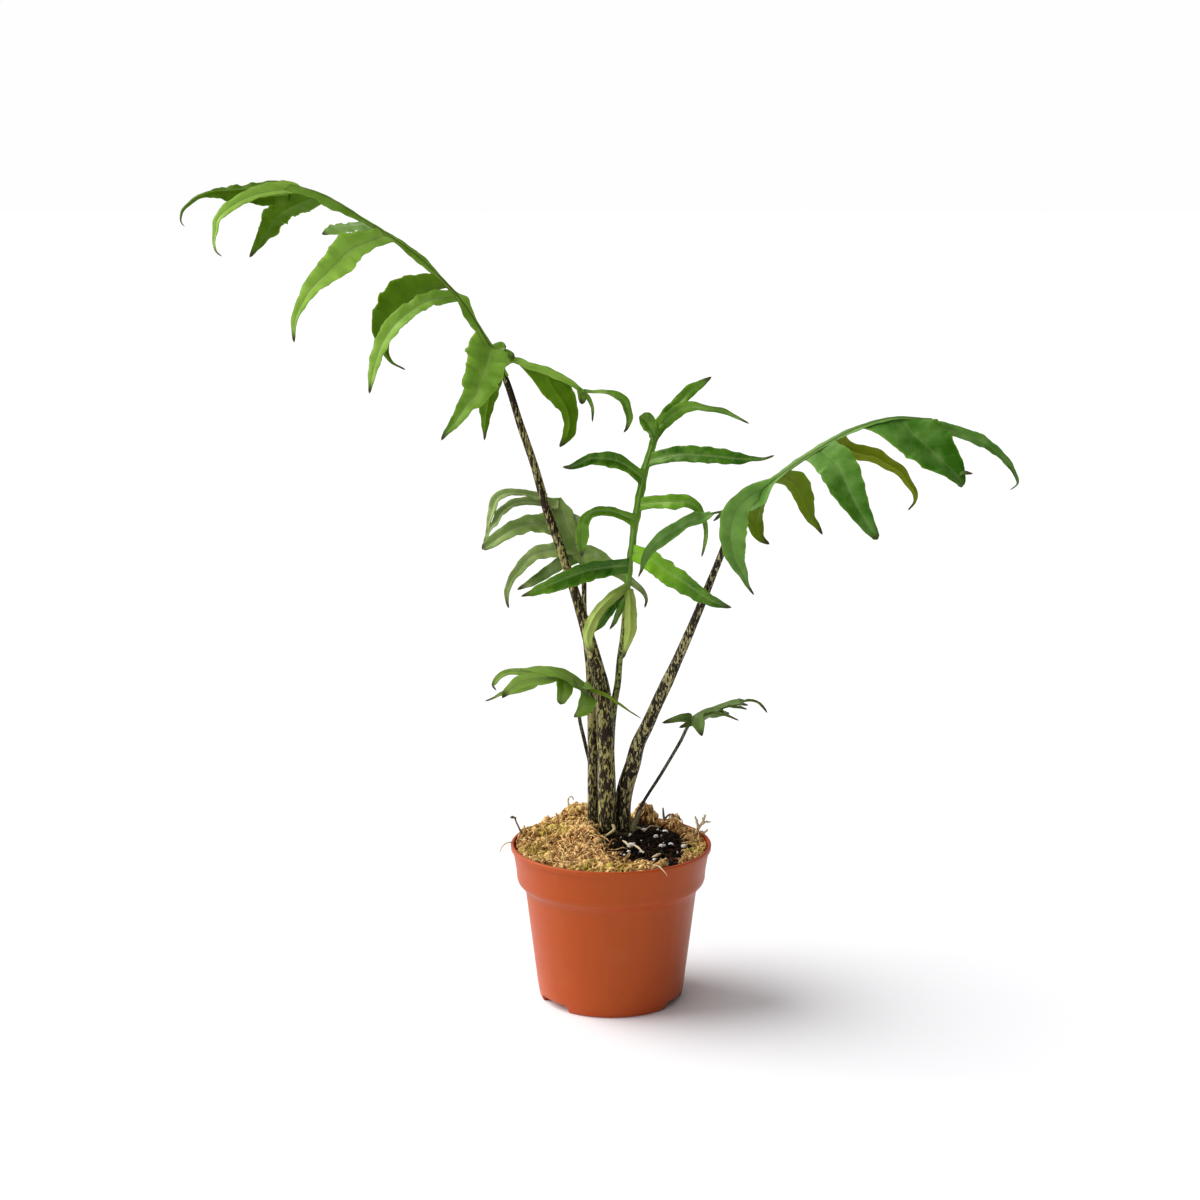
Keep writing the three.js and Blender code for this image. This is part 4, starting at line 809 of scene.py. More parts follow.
def strands(count, seed, covered, size, length):
    """Strands arching out of the felt. A strand's heading turns steadily along it, and
    its height over the moss is arch cos(pi t / 2) less SUNK_IN for t from -1 to 1,
    pushed about by waves. size and length are the spans of its radius and length."""
    dice = np.random.default_rng(seed)
    spots = strewn(count, seed + 1, covered)
    each = (len(spots), 1)
    t = np.linspace(-1, 1, STRAND_STATIONS)
    reach = dice.uniform(*length, each) / 2
    heading = dice.uniform(0, 2 * np.pi, each) + dice.normal(0, STRAND_TURN, each) * t
    step = reach * np.gradient(t)
    x = spots[:, :1] + np.cumsum(step * np.cos(heading), 1)
    y = spots[:, 1:] + np.cumsum(step * np.sin(heading), 1)
    squeeze = np.minimum(1, (MOSS_REACH + 0.3) / np.hypot(x, y))
    x, y = x * squeeze, y * squeeze
    arch = dice.uniform(*STRAND_ARCH, each)
    z = soil_height(x, y) + moss_depth(x, y) - SUNK_IN + arch * np.cos(np.pi * t / 2)
    z = z + 0.5 * waves(np.stack([x, y, z], -1), 4.0, seed + 2)
    thick = dice.uniform(*size, each) * (1 - STRAND_TAPER * np.abs(t) ** 3)
    beads = 1 + STRAND_BEADS * np.cos(np.pi * np.arange(STRAND_STATIONS))
    green = greenness(spots, dice)[:, None]
    return tubes(np.stack([x, y, z], -1), thick * beads, STRAND_SIDES,
                 {"tone": dice.uniform(*STRAND_TONES, each), "green": green})


# %% [markdown]
# Dry sphagnum is matt, for its leaves are a net of empty cells. The colour of a clump
# or strand runs from a brown that is almost the peat's to bleached straw, and where
# the moss still lives, it is yellow-green.

# %% Finish: dried sphagnum
STRAND_SPECK = 1.2 * MM

dry_moss, tree, shader = new_material("dried_sphagnum")
place = add(tree, "TexCoord").outputs["Object"]
tone = add(tree, "Attribute", attribute_name="tone").outputs["Fac"]
green = add(tree, "Attribute", attribute_name="green").outputs["Fac"]
specks = add(tree, "TexNoise", {"Vector": place, "Scale": 1 / STRAND_SPECK, "Detail": 3.0})
# Tone 0, on the felt and on the low clumps, is partly painted shade.
straw = add(tree, "Mix", {"Factor": tone, "A": linear("#4a2810"), "B": linear("#ffde98")},
            data_type="RGBA")
dim = add(tree, "MapRange", {"Value": specks, "From Min": 0.35, "From Max": 0.65})
speckled = add(tree, "Mix", {"Factor": dim, "A": linear("#ac743a"), "B": straw}, data_type="RGBA")
living = add(tree, "MapRange", {"Value": green, "To Max": 0.7})
mossy = add(tree, "Mix", {"Factor": living, "A": speckled, "B": linear("#bcae3a")}, data_type="RGBA")
relief = add(tree, "Bump", {"Height": specks, "Strength": 0.5, "Distance": 0.3 * MM})
feed(tree, shader, {"Base Color": mossy, "Normal": relief, "Roughness": 0.8,
                    "Specular IOR Level": 0.2})
print(dry_moss.name, "has", len(tree.nodes), "nodes")

# %% The mat and the fringe
MOSSES = {
    "moss_felt": {
        "node": "moss_mat", "span": MAT_SPAN, "inner": MAT_INNER, "steps": 220, "lanes": 26,
        "clumps": 1900, "clump_radii": (0.7, 2.3), "seed": 30,
        "strands": 740, "strand_radii": (0.28, 0.55), "strand_lengths": (5, 14)},
    "moss_fringe_felt": {
        "node": "moss_fringe", "span": FRINGE_SPAN, "inner": FRINGE_INNER, "steps": 110, "lanes": 10,
        "clumps": 420, "clump_radii": (0.6, 1.8), "seed": 33,
        "strands": 130, "strand_radii": (0.25, 0.5), "strand_lengths": (4, 10)},
}
for name, moss in MOSSES.items():
    covered, seed = under(moss["span"]), moss["seed"]
    body = felt(moss["span"], moss["inner"], moss["steps"], moss["lanes"])
    balls = clumps(moss["clumps"], seed, covered, moss["clump_radii"])
    loose = strands(moss["strands"], seed + 1, covered, moss["strand_radii"], moss["strand_lengths"])
    build(name, joined([body, balls, loose]), dry_moss, [moss["node"]])

# %% [markdown]
# ## The stem and the small dry things
#
# The stem of such an alocasia is a short rootstock, brown and corky, sunk in the
# mix to its top. A young root leaves it at the front, and the dry end of an old
# leaf's sheath stands beside the right-hand stalk. A few stiff moss ends and one
# twig stick up out of the felt.
#
# Cork is dull and cracked, so its flecks are both the colour and the relief.

# %% The corky rootstock
CORK_FLECK = 1.8 * MM
CORK_SUNK = 1.3  # below the crown's top, which the knobs make up for

rootstock = turned(rounded([  # as shares of its half width
    (0.02, -1.86, 0), (0.45, -1.68, 0.1), (0.82, -0.92, 0.2), (1.0, -0.35, 0.15), (0.98, -0.08, 0.06),
    (0.80, 0, 0.1), (0.02, 0, 0)], 5), 72)
bark = rootstock["verts"] * (CROWN_HALF_WIDTH, CROWN_HALF_DEPTH, CROWN_HALF_WIDTH)
knobs = 0.5 * waves(bark, 4.0, 71) + 0.3 * waves(bark, 1.6, 72)
middle = (CROWN_X, CROWN_Y, CROWN_TOP - CORK_SUNK)
rootstock["verts"] = bark + middle + knobs[:, None] * (0.3, 0.3, 0.8)

cork, tree, shader = new_material("corky_rootstock_skin")
place = add(tree, "TexCoord").outputs["Object"]
flecks = add(tree, "TexNoise", {"Vector": place, "Scale": 1 / CORK_FLECK, "Detail": 5.0,
                                "Roughness": 0.65})
brown = add(tree, "MapRange", {"Value": flecks, "From Min": 0.35, "From Max": 0.68})
skin = add(tree, "Mix", {"Factor": brown, "A": linear("#2d2118"), "B": linear("#8a7348")},
           data_type="RGBA")
relief = add(tree, "Bump", {"Height": flecks, "Strength": 0.7, "Distance": 0.5 * MM})
feed(tree, shader, {"Base Color": skin, "Normal": relief, "Roughness": 0.7})
build("rootstock", rootstock, cork, ["stem_base"])

# %% The courses of the young root, the twig, the moss ends and the straws
# A row is x, y, z and radius.
ROOT = [
    [1, -3.4, 107, 0.9], [2, -4.4, 104.5, 1], [-1, -5.4, 102, 0.7], [-4, -6.5, 100, 0.6],
    [-4, -8, 98, 0.6], [-2.5, -10, 95.5, 0.6], [-2, -12, 93, 0.6],
]
TWIG = [[38, 36, 89, 0.8], [36, 37, 95, 0.7], [33, 38, 98, 0.7], [32, 39, 105, 0.6]]
TWIG_PRONG = [[33, 38, 98, 0.5], [36, 38, 101, 0.6], [40, 37, 100, 0.6], [43, 36, 98, 0.5]]
MOSS_ENDS = {
    "moss_sprig_left": [
        [[-52, 9, 91, 0.7], [-54, 9, 98, 0.6], [-57, 9, 105, 0.5], [-58, 8, 108, 0.7],
         [-60, 8, 108, 0.8]]],
    "moss_sprig_back": [
        [[-25, 49, 97, 0.8], [-26, 48, 104, 0.6], [-26, 47, 109, 0.4], [-24, 47, 110, 0.4],
         [-23, 47, 108, 0.3]]],
    "moss_sprig_right": [
        [[49, 16, 90, 0.8], [52, 16, 97, 0.8], [55, 16, 102, 0.8], [57, 15, 107, 0.6]],
        [[53, 16, 98, 0.6], [52, 15, 103, 0.6], [51, 15, 106, 0.5]],
        [[55, 16, 102, 0.5], [58, 16, 103, 0.5], [60, 15, 103, 0.4]],
        [[52, 16, 97, 0.6], [57, 14, 97, 0.5], [58, 13, 99, 0.4]]],
}
LOOSE_STRAWS = [  # over the left rim and the front one, and on the mix
    [[-59, 0, 95, 0.45], [-62, -1, 95, 0.45], [-65, -2, 93, 0.4], [-66.5, -2, 89.5, 0.25]],
    [[24, -48, 96, 0.4], [27, -52, 96.6, 0.35], [29, -56, 96, 0.3], [31, -58.5, 94.4, 0.25],
     [32, -59, 92.6, 0.15]],
    [[-16, -13, 97.5, 0.3], [-12, -10, 98.6, 0.6], [-8, -7, 98.6, 0.3]],
    [[7, -9, 98.6, 0.5], [9, -13, 98.4, 0.8], [11, -18, 97.2, 0.4]],
    [[13, -14, 97.8, 0.4], [16, -19, 97.4, 0.7], [19, -25, 96, 0.3]],
    [[12, 10, 100.2, 0.5], [15, 12, 100.4, 0.9], [18, 14, 99.6, 0.5]],
    [[24, -32, 95.5, 0.4], [27, -31, 96.5, 0.8], [29, -28, 96.6, 0.5]],
    [[20, 9, 99, 0.3], [24, 15, 100.6, 0.35], [30, 20, 98, 0.3]],
]


def bar(rows, step=0.7, sides=10, knobs=0.08, seed=1):
    """A round bar along a smooth path, with a seeded knobbliness of its radius."""
    path = smooth_path(rows, max(6, round(reaches(np.array(rows, float))[-1] / step)))
    thick = path[:, 3] * (1 + knobs * waves(path[:, :3], 3.0, seed))
    return tubes(path[None, :, :3], thick[None], sides)


def with_scales(rows, count, seed):
    """A bar with small pressed leaves around it, as a moss end has."""
    path = smooth_path(rows, count)
    dice = np.random.default_rng(seed)
    around = dice.normal(size=(count, 3))
    around /= np.linalg.norm(around, axis=1, keepdims=True)
    spots = path[:, :3] + around * path[:, 3:] * 0.8
    leaves = lumps(spots, path[:, 3] * dice.uniform(0.7, 1.1, count), seed + 1, stretch=0.6)
    return joined([bar(rows, seed=seed), leaves])


# %% [markdown]
# These three skins have one colour each, all over. A young root is smooth and a little
# moist, dry bark and straw are matt.

# %% The young root, the twig, the moss ends and the straws
SCALES = 24  # on each moss end
PLAIN_SKINS = {  # colour and roughness
    "young_root_skin": ("#b9a878", 0.55),
    "dry_twig_bark": ("#75634c", 0.8),
    "bleached_straw": ("#cdbb92", 0.7),
}
skins = {}
for name, (colour, roughness) in PLAIN_SKINS.items():
    skins[name], tree, shader = new_material(name)
    feed(tree, shader, {"Base Color": linear(colour), "Roughness": roughness})

build("young_root", bar(ROOT, 0.4, 14), skins["young_root_skin"], ["aerial_root"])
twig = joined([bar(TWIG, 0.5, 10, 0.2), bar(TWIG_PRONG, 0.5, 8, 0.2)])
build("dry_twig", twig, skins["dry_twig_bark"], ["twig"])
for index, (node, prongs) in enumerate(MOSS_ENDS.items()):
    sprig = joined([with_scales(rows, SCALES, 80 + 10 * index + k) for k, rows in enumerate(prongs)])
    skin = skins["bleached_straw" if index else "dry_twig_bark"]
    build(node + "_leafy", sprig, skin, [node])
straws = joined([bar(rows, 0.8, 6, 0.15, 200 + k) for k, rows in enumerate(LOOSE_STRAWS)])
build("loose_straws", straws, skins["bleached_straw"])

# %% [markdown]
# The old sheath is a piece of dry skin, curled round the stalk that it once held.
# Its section is a crescent: an arc outwards and a tighter arc back. It is thin and
# papery, with darker fibres that run along it.

# %% The dry sheath
SHEATH = [[13, 8, 99.8, 2.2], [13.5, 8, 103, 2], [16, 10, 108, 1.5], [18, 11, 112, 0.6]]
SHEATH_STATIONS, SHEATH_LANES, SHEATH_INNER = 26, 18, 0.8
SHEATH_FIBRE, FIBRE_DRAW = 0.9 * MM, 0.15

path = smooth_path(SHEATH, SHEATH_STATIONS)
along = directions(path[:, :3])
side = carried_sides(along, np.array([1.0, 0, 0]))
across = np.cross(along, side)
bend = np.radians(np.linspace(-170, -10, SHEATH_LANES))
outer = np.stack([np.cos(bend), np.sin(bend)], -1)
arc = np.concatenate([outer, outer[::-1] * SHEATH_INNER])
curl = (side[:, None] * arc[:, :1] + across[:, None] * arc[:, 1:]) * path[:, None, 3:]
sheath = outwards(shells((path[:, None, :3] + curl)[None]))

dry_skin, tree, shader = new_material("dry_leaf_sheath")
place = add(tree, "TexCoord").outputs["Object"]
drawn = add(tree, "Mapping", {"Vector": place, "Scale": (1, 1, FIBRE_DRAW)})
streaks = add(tree, "TexNoise", {"Vector": drawn, "Scale": 1 / SHEATH_FIBRE, "Detail": 3.0})
skin = add(tree, "Mix", {"Factor": streaks, "A": linear("#3b3420"), "B": linear("#8c8052")},
           data_type="RGBA")
feed(tree, shader, {"Base Color": skin, "Roughness": 0.6})
build("old_sheath", sheath, dry_skin, ["leaf_sheath"])

# %% [markdown]
# ## Six leaves as rows of numbers
#
# Everything about a leaf's course is in its table, in millimetres. A stalk row is
# x, y, z and radius, and the blade's rib is the stalk from row `joint` on. A `wing`
# row is a distance along the rib and how wide the blade is on each side there.
#
# A lobe row is x, y, z and half width along the lobe's own middle line. A fifth
# number is the half width towards the blade's tip, where that differs. `root` is
# how much of the rib its base takes on each side, and a lobe with `end` has no base
# there. `roll` turns the edge that faces the blade's tip down and back, in degrees,
# from base to tip. `up` is the side that the upper face looks to, and `shows` says
# which face is in front. The rows follow the photograph, one lobe at a time.

# %% [markdown]
# The left leaf is the longest. Its rib arches up and out to the left, with four lobes in
# front of it, four behind it and a long tip. A second rib runs the other way from the
# stalk's end, and the basal lobes hang on it.

# %% The left leaf
left_leaf = {
  "name": "left", "up": [0.1, -1, 0.8], "joint": 11,
  "wing": [
    [0, 2, 2], [20, 3, 2], [27, 2.5, 1.5], [36, 4.5, 1.2], [46, 4, 3.2], [51, 3, 4],
      [57, 1.5, 1.2],
    [66, 1.5, 1], [80, 3, 2.2], [86, 4, 2.4], [96, 2.6, 2.2], [113, 1.5, 1.3], [126, 2.5, 1.2],
    [138, 5.5, 1], [148, 6.5, 1], [158, 5, 0.8], [170, 5, 0.6], [180, 3, 0.6],
  ],
  "back_wing": [[0, 1, 1], [10, 2, 2], [35, 2.4, 2.4], [52, 1, 1]],
  "stalk": [
    [-2.5, 5, 99.8, 5.5], [-2.5, 6, 131, 5.3], [-3.5, 8, 160, 5], [-5, 9, 185, 4.7],
    [-9, 10, 202, 4.2], [-14, 11, 220, 3.6], [-23, 12, 250, 2.8], [-30, 12, 272, 2.6],
    [-38, 13, 295, 2.6], [-45, 14, 320, 2.4], [-53, 14, 344, 2.2], [-62, 15, 372, 1.9],
    [-73, 13, 394, 1.8], [-88, 10, 418, 1.7], [-99, 8, 430, 1.6], [-109, 6, 440, 1.5],
    [-126, 3, 453, 1.5], [-140, 1, 462, 1.4], [-160, -4, 475, 1.3],
    [-175, -7, 481, 1.2], [-192, -10, 484, 1],
  ],
  "back": [
    [-62, 15, 379, 1.3], [-57, 13, 382, 1.2], [-47, 9, 379, 1.1], [-34, 6, 375, 1],
    [-24, 4, 370, 1], [-16, 2, 365, 1],
  ],
  "lobes": {
    "near_1": {"root": [14, 9], "web": 3.5, "side": [-1, 0, 0.2], "tone": [0.45, 0.7], "rows": [
      [-69, 14, 391, 8, 12], [-71, 8, 385, 12, 13.5], [-73, 2, 378, 11, 11],
      [-76, -2, 371, 11, 9.5],
      [-78, -5, 364, 8, 8], [-83, -7, 359, 5.5, 5], [-89, -8, 350, 4, 3], [-95, -8, 343, 2, 1.2],
      [-98, -8, 338, 0.5]]},
    "ear": {"end": True, "tone": 0.6, "rows": [
      [-67, 13, 387, 3.5], [-64, 12, 389, 4], [-61, 11, 390, 3]]},
    "ear_2": {"end": True, "tone": 0.5, "rows": [[-65, 12, 385, 3.5], [-60, 11, 385, 3],
      [-56, 11, 384, 1.5]]},
    "far_1": {"root": 3, "tone": 0.9, "shows": "lower", "rows": [
      [-66, 17, 380, 4, 5], [-70, 24, 365, 4.5, 8], [-73, 28, 350, 2.5, 5], [-75, 30, 333, 0.5]]},
    "near_2": {"root": 3, "roll": [40, 40], "tone": [0.5, 0.15], "rows": [
      [-91, 9, 419, 3.5], [-103, 1, 418, 5], [-113, -6, 413, 6], [-123, -11, 405, 6],
      [-130, -15, 395, 4.5], [-135, -16, 382, 3], [-138, -17, 366, 0.5]]},
    "far_2": {"root": [4, 8], "tone": 0.9, "shows": "lower", "rows": [
      [-97, 9, 427, 3, 4.5], [-108, 14, 424, 4.5, 8.5], [-118, 20, 418, 7.5, 12.5],
      [-125, 23, 410, 9.5, 12.5],
      [-132, 26, 400, 7, 8.5], [-133, 24, 390, 3], [-129, 21, 381, 0.9], [-120, 18, 376, 0.4]]},
    "near_3": {"root": [6, 8], "tone": [0.2, 0.0], "rows": [
      [-128, 2, 455, 5, 4.5], [-139, -8, 451, 5.5, 6.5], [-148, -14, 447, 8, 9.5],
      [-154, -19, 441, 9, 8],
      [-161, -23, 434, 6.5, 6.5], [-168, -26, 427, 4.5, 5], [-174, -27, 418, 3],
      [-178, -28, 409, 1.5, 2], [-179, -27, 399, 0.8], [-179, -26, 396, 0.4]]},
    "far_3": {"root": 3, "tone": 0.6, "rows": [
      [-140, 4, 460, 6, 5], [-146, 12, 459.5, 6, 4.5], [-151, 20, 459, 4.5, 4],
      [-160, 34, 456, 3, 5], [-170, 44, 453, 0.5]]},
    "near_4": {"root": 4, "tone": 0.0, "rows": [
      [-172, -6, 480, 3, 4], [-181, -10, 480.5, 3, 5.5], [-189, -15, 480, 3, 5.5],
      [-198, -20, 478.5, 3, 4.5],
      [-205, -24, 476, 3, 3.5], [-212, -27, 472, 3], [-217, -28, 468, 2.5], [-220, -29, 464, 2],
      [-221, -29, 458, 1.5], [-222, -29, 452, 1], [-221, -28, 447, 0.7], [-218, -27, 444, 0.4]]},
    "far_4": {"root": [8, 16], "tone": 1.0, "shows": "lower", "rows": [
      [-168, -3, 477, 5.5], [-177, 2, 473, 9, 6], [-186, 7, 469, 8, 7.5], [-193, 11, 464, 8.5, 7],
      [-198, 14, 457, 7, 4.5], [-203, 16, 450, 3.5, 2.5], [-209, 18, 441, 0.5]]},
    "web_4": {"end": True, "tone": 1.0, "shows": "lower", "rows": [
      [-183, 0, 477, 3], [-192, 2, 476, 5], [-200, 0, 476, 4.5], [-208, -4, 477, 3]]},
    "tip": {"end": True, "tone": 0.9, "shows": "lower", "rows": [
      [-182, -8, 484, 1.5], [-192, -10, 484, 3, 2], [-201, -12, 481, 6, 4.5],
      [-209, -14, 480, 6.5, 4.5],
      [-217, -15, 479.5, 5.5, 4.5], [-224, -16, 479, 3, 2.5], [-231, -17, 477, 1.5, 2],
      [-236, -18, 474, 1.5], [-241, -18, 469, 1.2], [-242, -18, 463, 0.6],
      [-240, -17, 460, 0.4]]},
    "basal_1": {"on": "back", "root": [18, 12], "tone": 0.9, "shows": "lower", "rows": [
      [-38, 6, 374, 8], [-32, 4, 365, 7, 9], [-26, 2, 356, 4.5, 6.5], [-24, 1, 348, 3.5, 4],
      [-25, 0, 341, 3, 3.5], [-30, 0, 333, 0.5]]},
    "nub": {"end": True, "tone": 0.6, "rows": [[-18, 2, 366, 2], [-17, 1, 361, 2.2],
      [-17, 0, 358, 1]]},
    "basal_2": {"on": "back", "root": 1, "tone": 0.9, "rows": [
      [-16, 1, 365, 1.5], [-13, -1, 361, 1.2], [-11, -2, 356, 0.9], [-11, -3, 348, 0.4]]},
    "basal_3": {"on": "back", "end": True, "tone": 0.7, "rows": [
      [-16, 2, 365, 1.2], [-10, 1, 365, 1], [-4, 0, 365, 1.5, 1.2], [3, -1, 363, 2.5, 2],
      [7, -2, 360, 3, 2.5],
      [9, -3, 355, 2.5, 2], [10, -4, 350, 2, 1.5], [9, -4, 345, 1], [7, -4, 342, 0.4]]},
  },
}
print("left leaf:", len(left_leaf["lobes"]), "lobes")

# %% [markdown]
# The right leaf reaches out to the right. Its front lobes hang over the rib and are the
# broadest of the plant, and those behind it show their undersides.

# %% The right leaf
right_leaf = {
  "name": "right", "up": [-0.3, -0.6, 1], "joint": 11, "cover": 0.3,
  "wing": [
    [0, 2, 4], [10, 2, 10.5], [20, 2.2, 11], [27, 2.6, 4], [60, 2.6, 2], [75, 2.2, 3],
      [90, 1.5, 3], [115, 1, 2],
  ],
  "stalk": [
    [7, 13, 99.8, 5.2], [7, 13, 114, 5], [9, 11, 127, 4.9], [13, 8, 141, 4.6],
    [16, 5, 154, 4.2], [22, 1, 168, 3.9], [27, -3, 181, 3.7], [33, -6, 195, 3.5],
    [40, -10, 212, 3], [50, -16, 238, 2.5], [60, -20, 265, 2.1], [73, -25, 298, 1.7],
    [83, -26, 309, 1.6], [98, -28, 322, 1.5], [115, -28, 334, 1.4], [134, -27, 345, 1.3],
    [147, -26, 350, 1.2], [161, -25, 353, 1.1], [182, -25, 352, 1],
  ],
  "back": [[76, -25, 301, 1.2], [69, -27, 301, 1], [63, -29, 300, 0.9], [56, -31, 299, 0.8]],
  "lobes": {
    "near_1": {"root": [5, 10], "web": 6, "side": [-0.7, 0, 0.7], "tone": [0.05, 0.5], "rows": [
      [86, -27, 313, 5], [80, -31, 310, 4.5, 5.5], [73, -36, 305, 6, 6], [69, -40, 299, 8.5, 7.5],
      [67, -43, 291, 9, 6.5], [68, -45, 282, 7.5, 6], [70, -45, 274, 5.5, 4],
      [74, -44, 267, 3, 2.5],
      [77, -43, 260, 1.2], [81, -42, 254, 0.4]]},
    "far_1": {"root": [3, 8], "tone": 0.9, "shows": "lower", "rows": [
      [86, -24, 309, 6], [85, -16, 301, 6.5, 5.5], [84, -10, 293, 6, 4.5], [85, -8, 287, 5, 4],
      [87, -7, 281, 2.5, 2], [92, -6, 277, 0.5]]},
    "far_2": {"root": [7, 3], "tone": 0.8, "shows": "lower", "rows": [
      [98, -26, 320, 4, 6], [105, -19, 314, 4.5, 8], [110, -13, 306, 4.5, 6.5],
      [113, -9, 298, 3.5, 5],
      [116, -6, 292, 2.5], [120, -3, 287, 1.5], [123, -2, 282, 0.5]]},
    "near_2": {"root": [9, 11], "tone": [0.6, 1.0], "rows": [
      [118, -30, 335, 8.5, 8.5], [127, -38, 328, 11, 10.5], [133, -43, 316, 9.5],
      [139, -46, 304, 6, 6.5],
      [145, -47, 294, 3.5, 4], [150, -47, 287, 1.5]]},
    "far_3": {"root": 3, "tone": 0.0, "shows": "lower", "rows": [
      [129, -24, 342, 3.5], [135, -21, 335, 4], [143, -19, 332, 4.5], [151, -17, 330, 4, 4.5],
      [159, -15, 325, 3.5], [166, -13, 321, 3], [171, -12, 314, 2], [175, -12, 308, 1.5],
      [175, -12, 303, 0.8], [171, -13, 298, 0.4]]},
    "near_3": {"root": [22, 8], "tone": [0.75, 0.95], "rows": [
      [164, -26, 351, 14, 3], [170, -31, 345, 15, 11.5], [177, -35, 339, 13.5, 15.5],
      [184, -38, 332, 11, 13], [191, -41, 326, 7.5, 9], [196, -43, 320, 4.5, 4],
      [197, -43, 316, 1.5]]},
    "barb": {"end": True, "tone": 0.9, "rows": [[196, -42, 323, 1.5], [199, -43, 324, 1.5],
      [203, -44, 324, 0.4]]},
    "tip": {"end": True, "tone": 0.6, "rows": [
      [180, -25, 350, 2.5], [189, -26, 347, 4.5], [199, -26, 344, 4.5, 5], [209, -27, 340, 5],
      [217, -28, 335, 3.5, 3], [224, -28, 329, 2.5], [229, -28, 322, 1.5], [231, -28, 316, 1],
      [227, -27, 312, 0.5]]},
    "basal_1": {"on": "back", "end": True, "roll": [-90, -90], "tone": 0.5, "rows": [
      [57, -31, 299, 2], [53, -33, 297, 2.5, 4], [44, -36, 295, 2.5, 5], [36, -40, 291, 3.5, 5.5],
      [29, -43, 287, 4, 5.5], [23, -45, 282, 3, 4], [19, -46, 276, 2, 3], [17, -46, 270, 1.2],
      [15, -46, 265, 0.4]]},
    "barb_2": {"end": True, "tone": 1.0, "rows": [[63, -30, 298, 1.5], [61, -31, 297, 1.2],
      [58, -32, 295, 0.4]]},
  },
}
print("right leaf:", len(right_leaf["lobes"]), "lobes")

# %% [markdown]
# The middle leaf stands nearly upright and is the glossiest. Its lobes leave the rib in
# pairs, to the right and to the left, and four short ones hang down from its base.

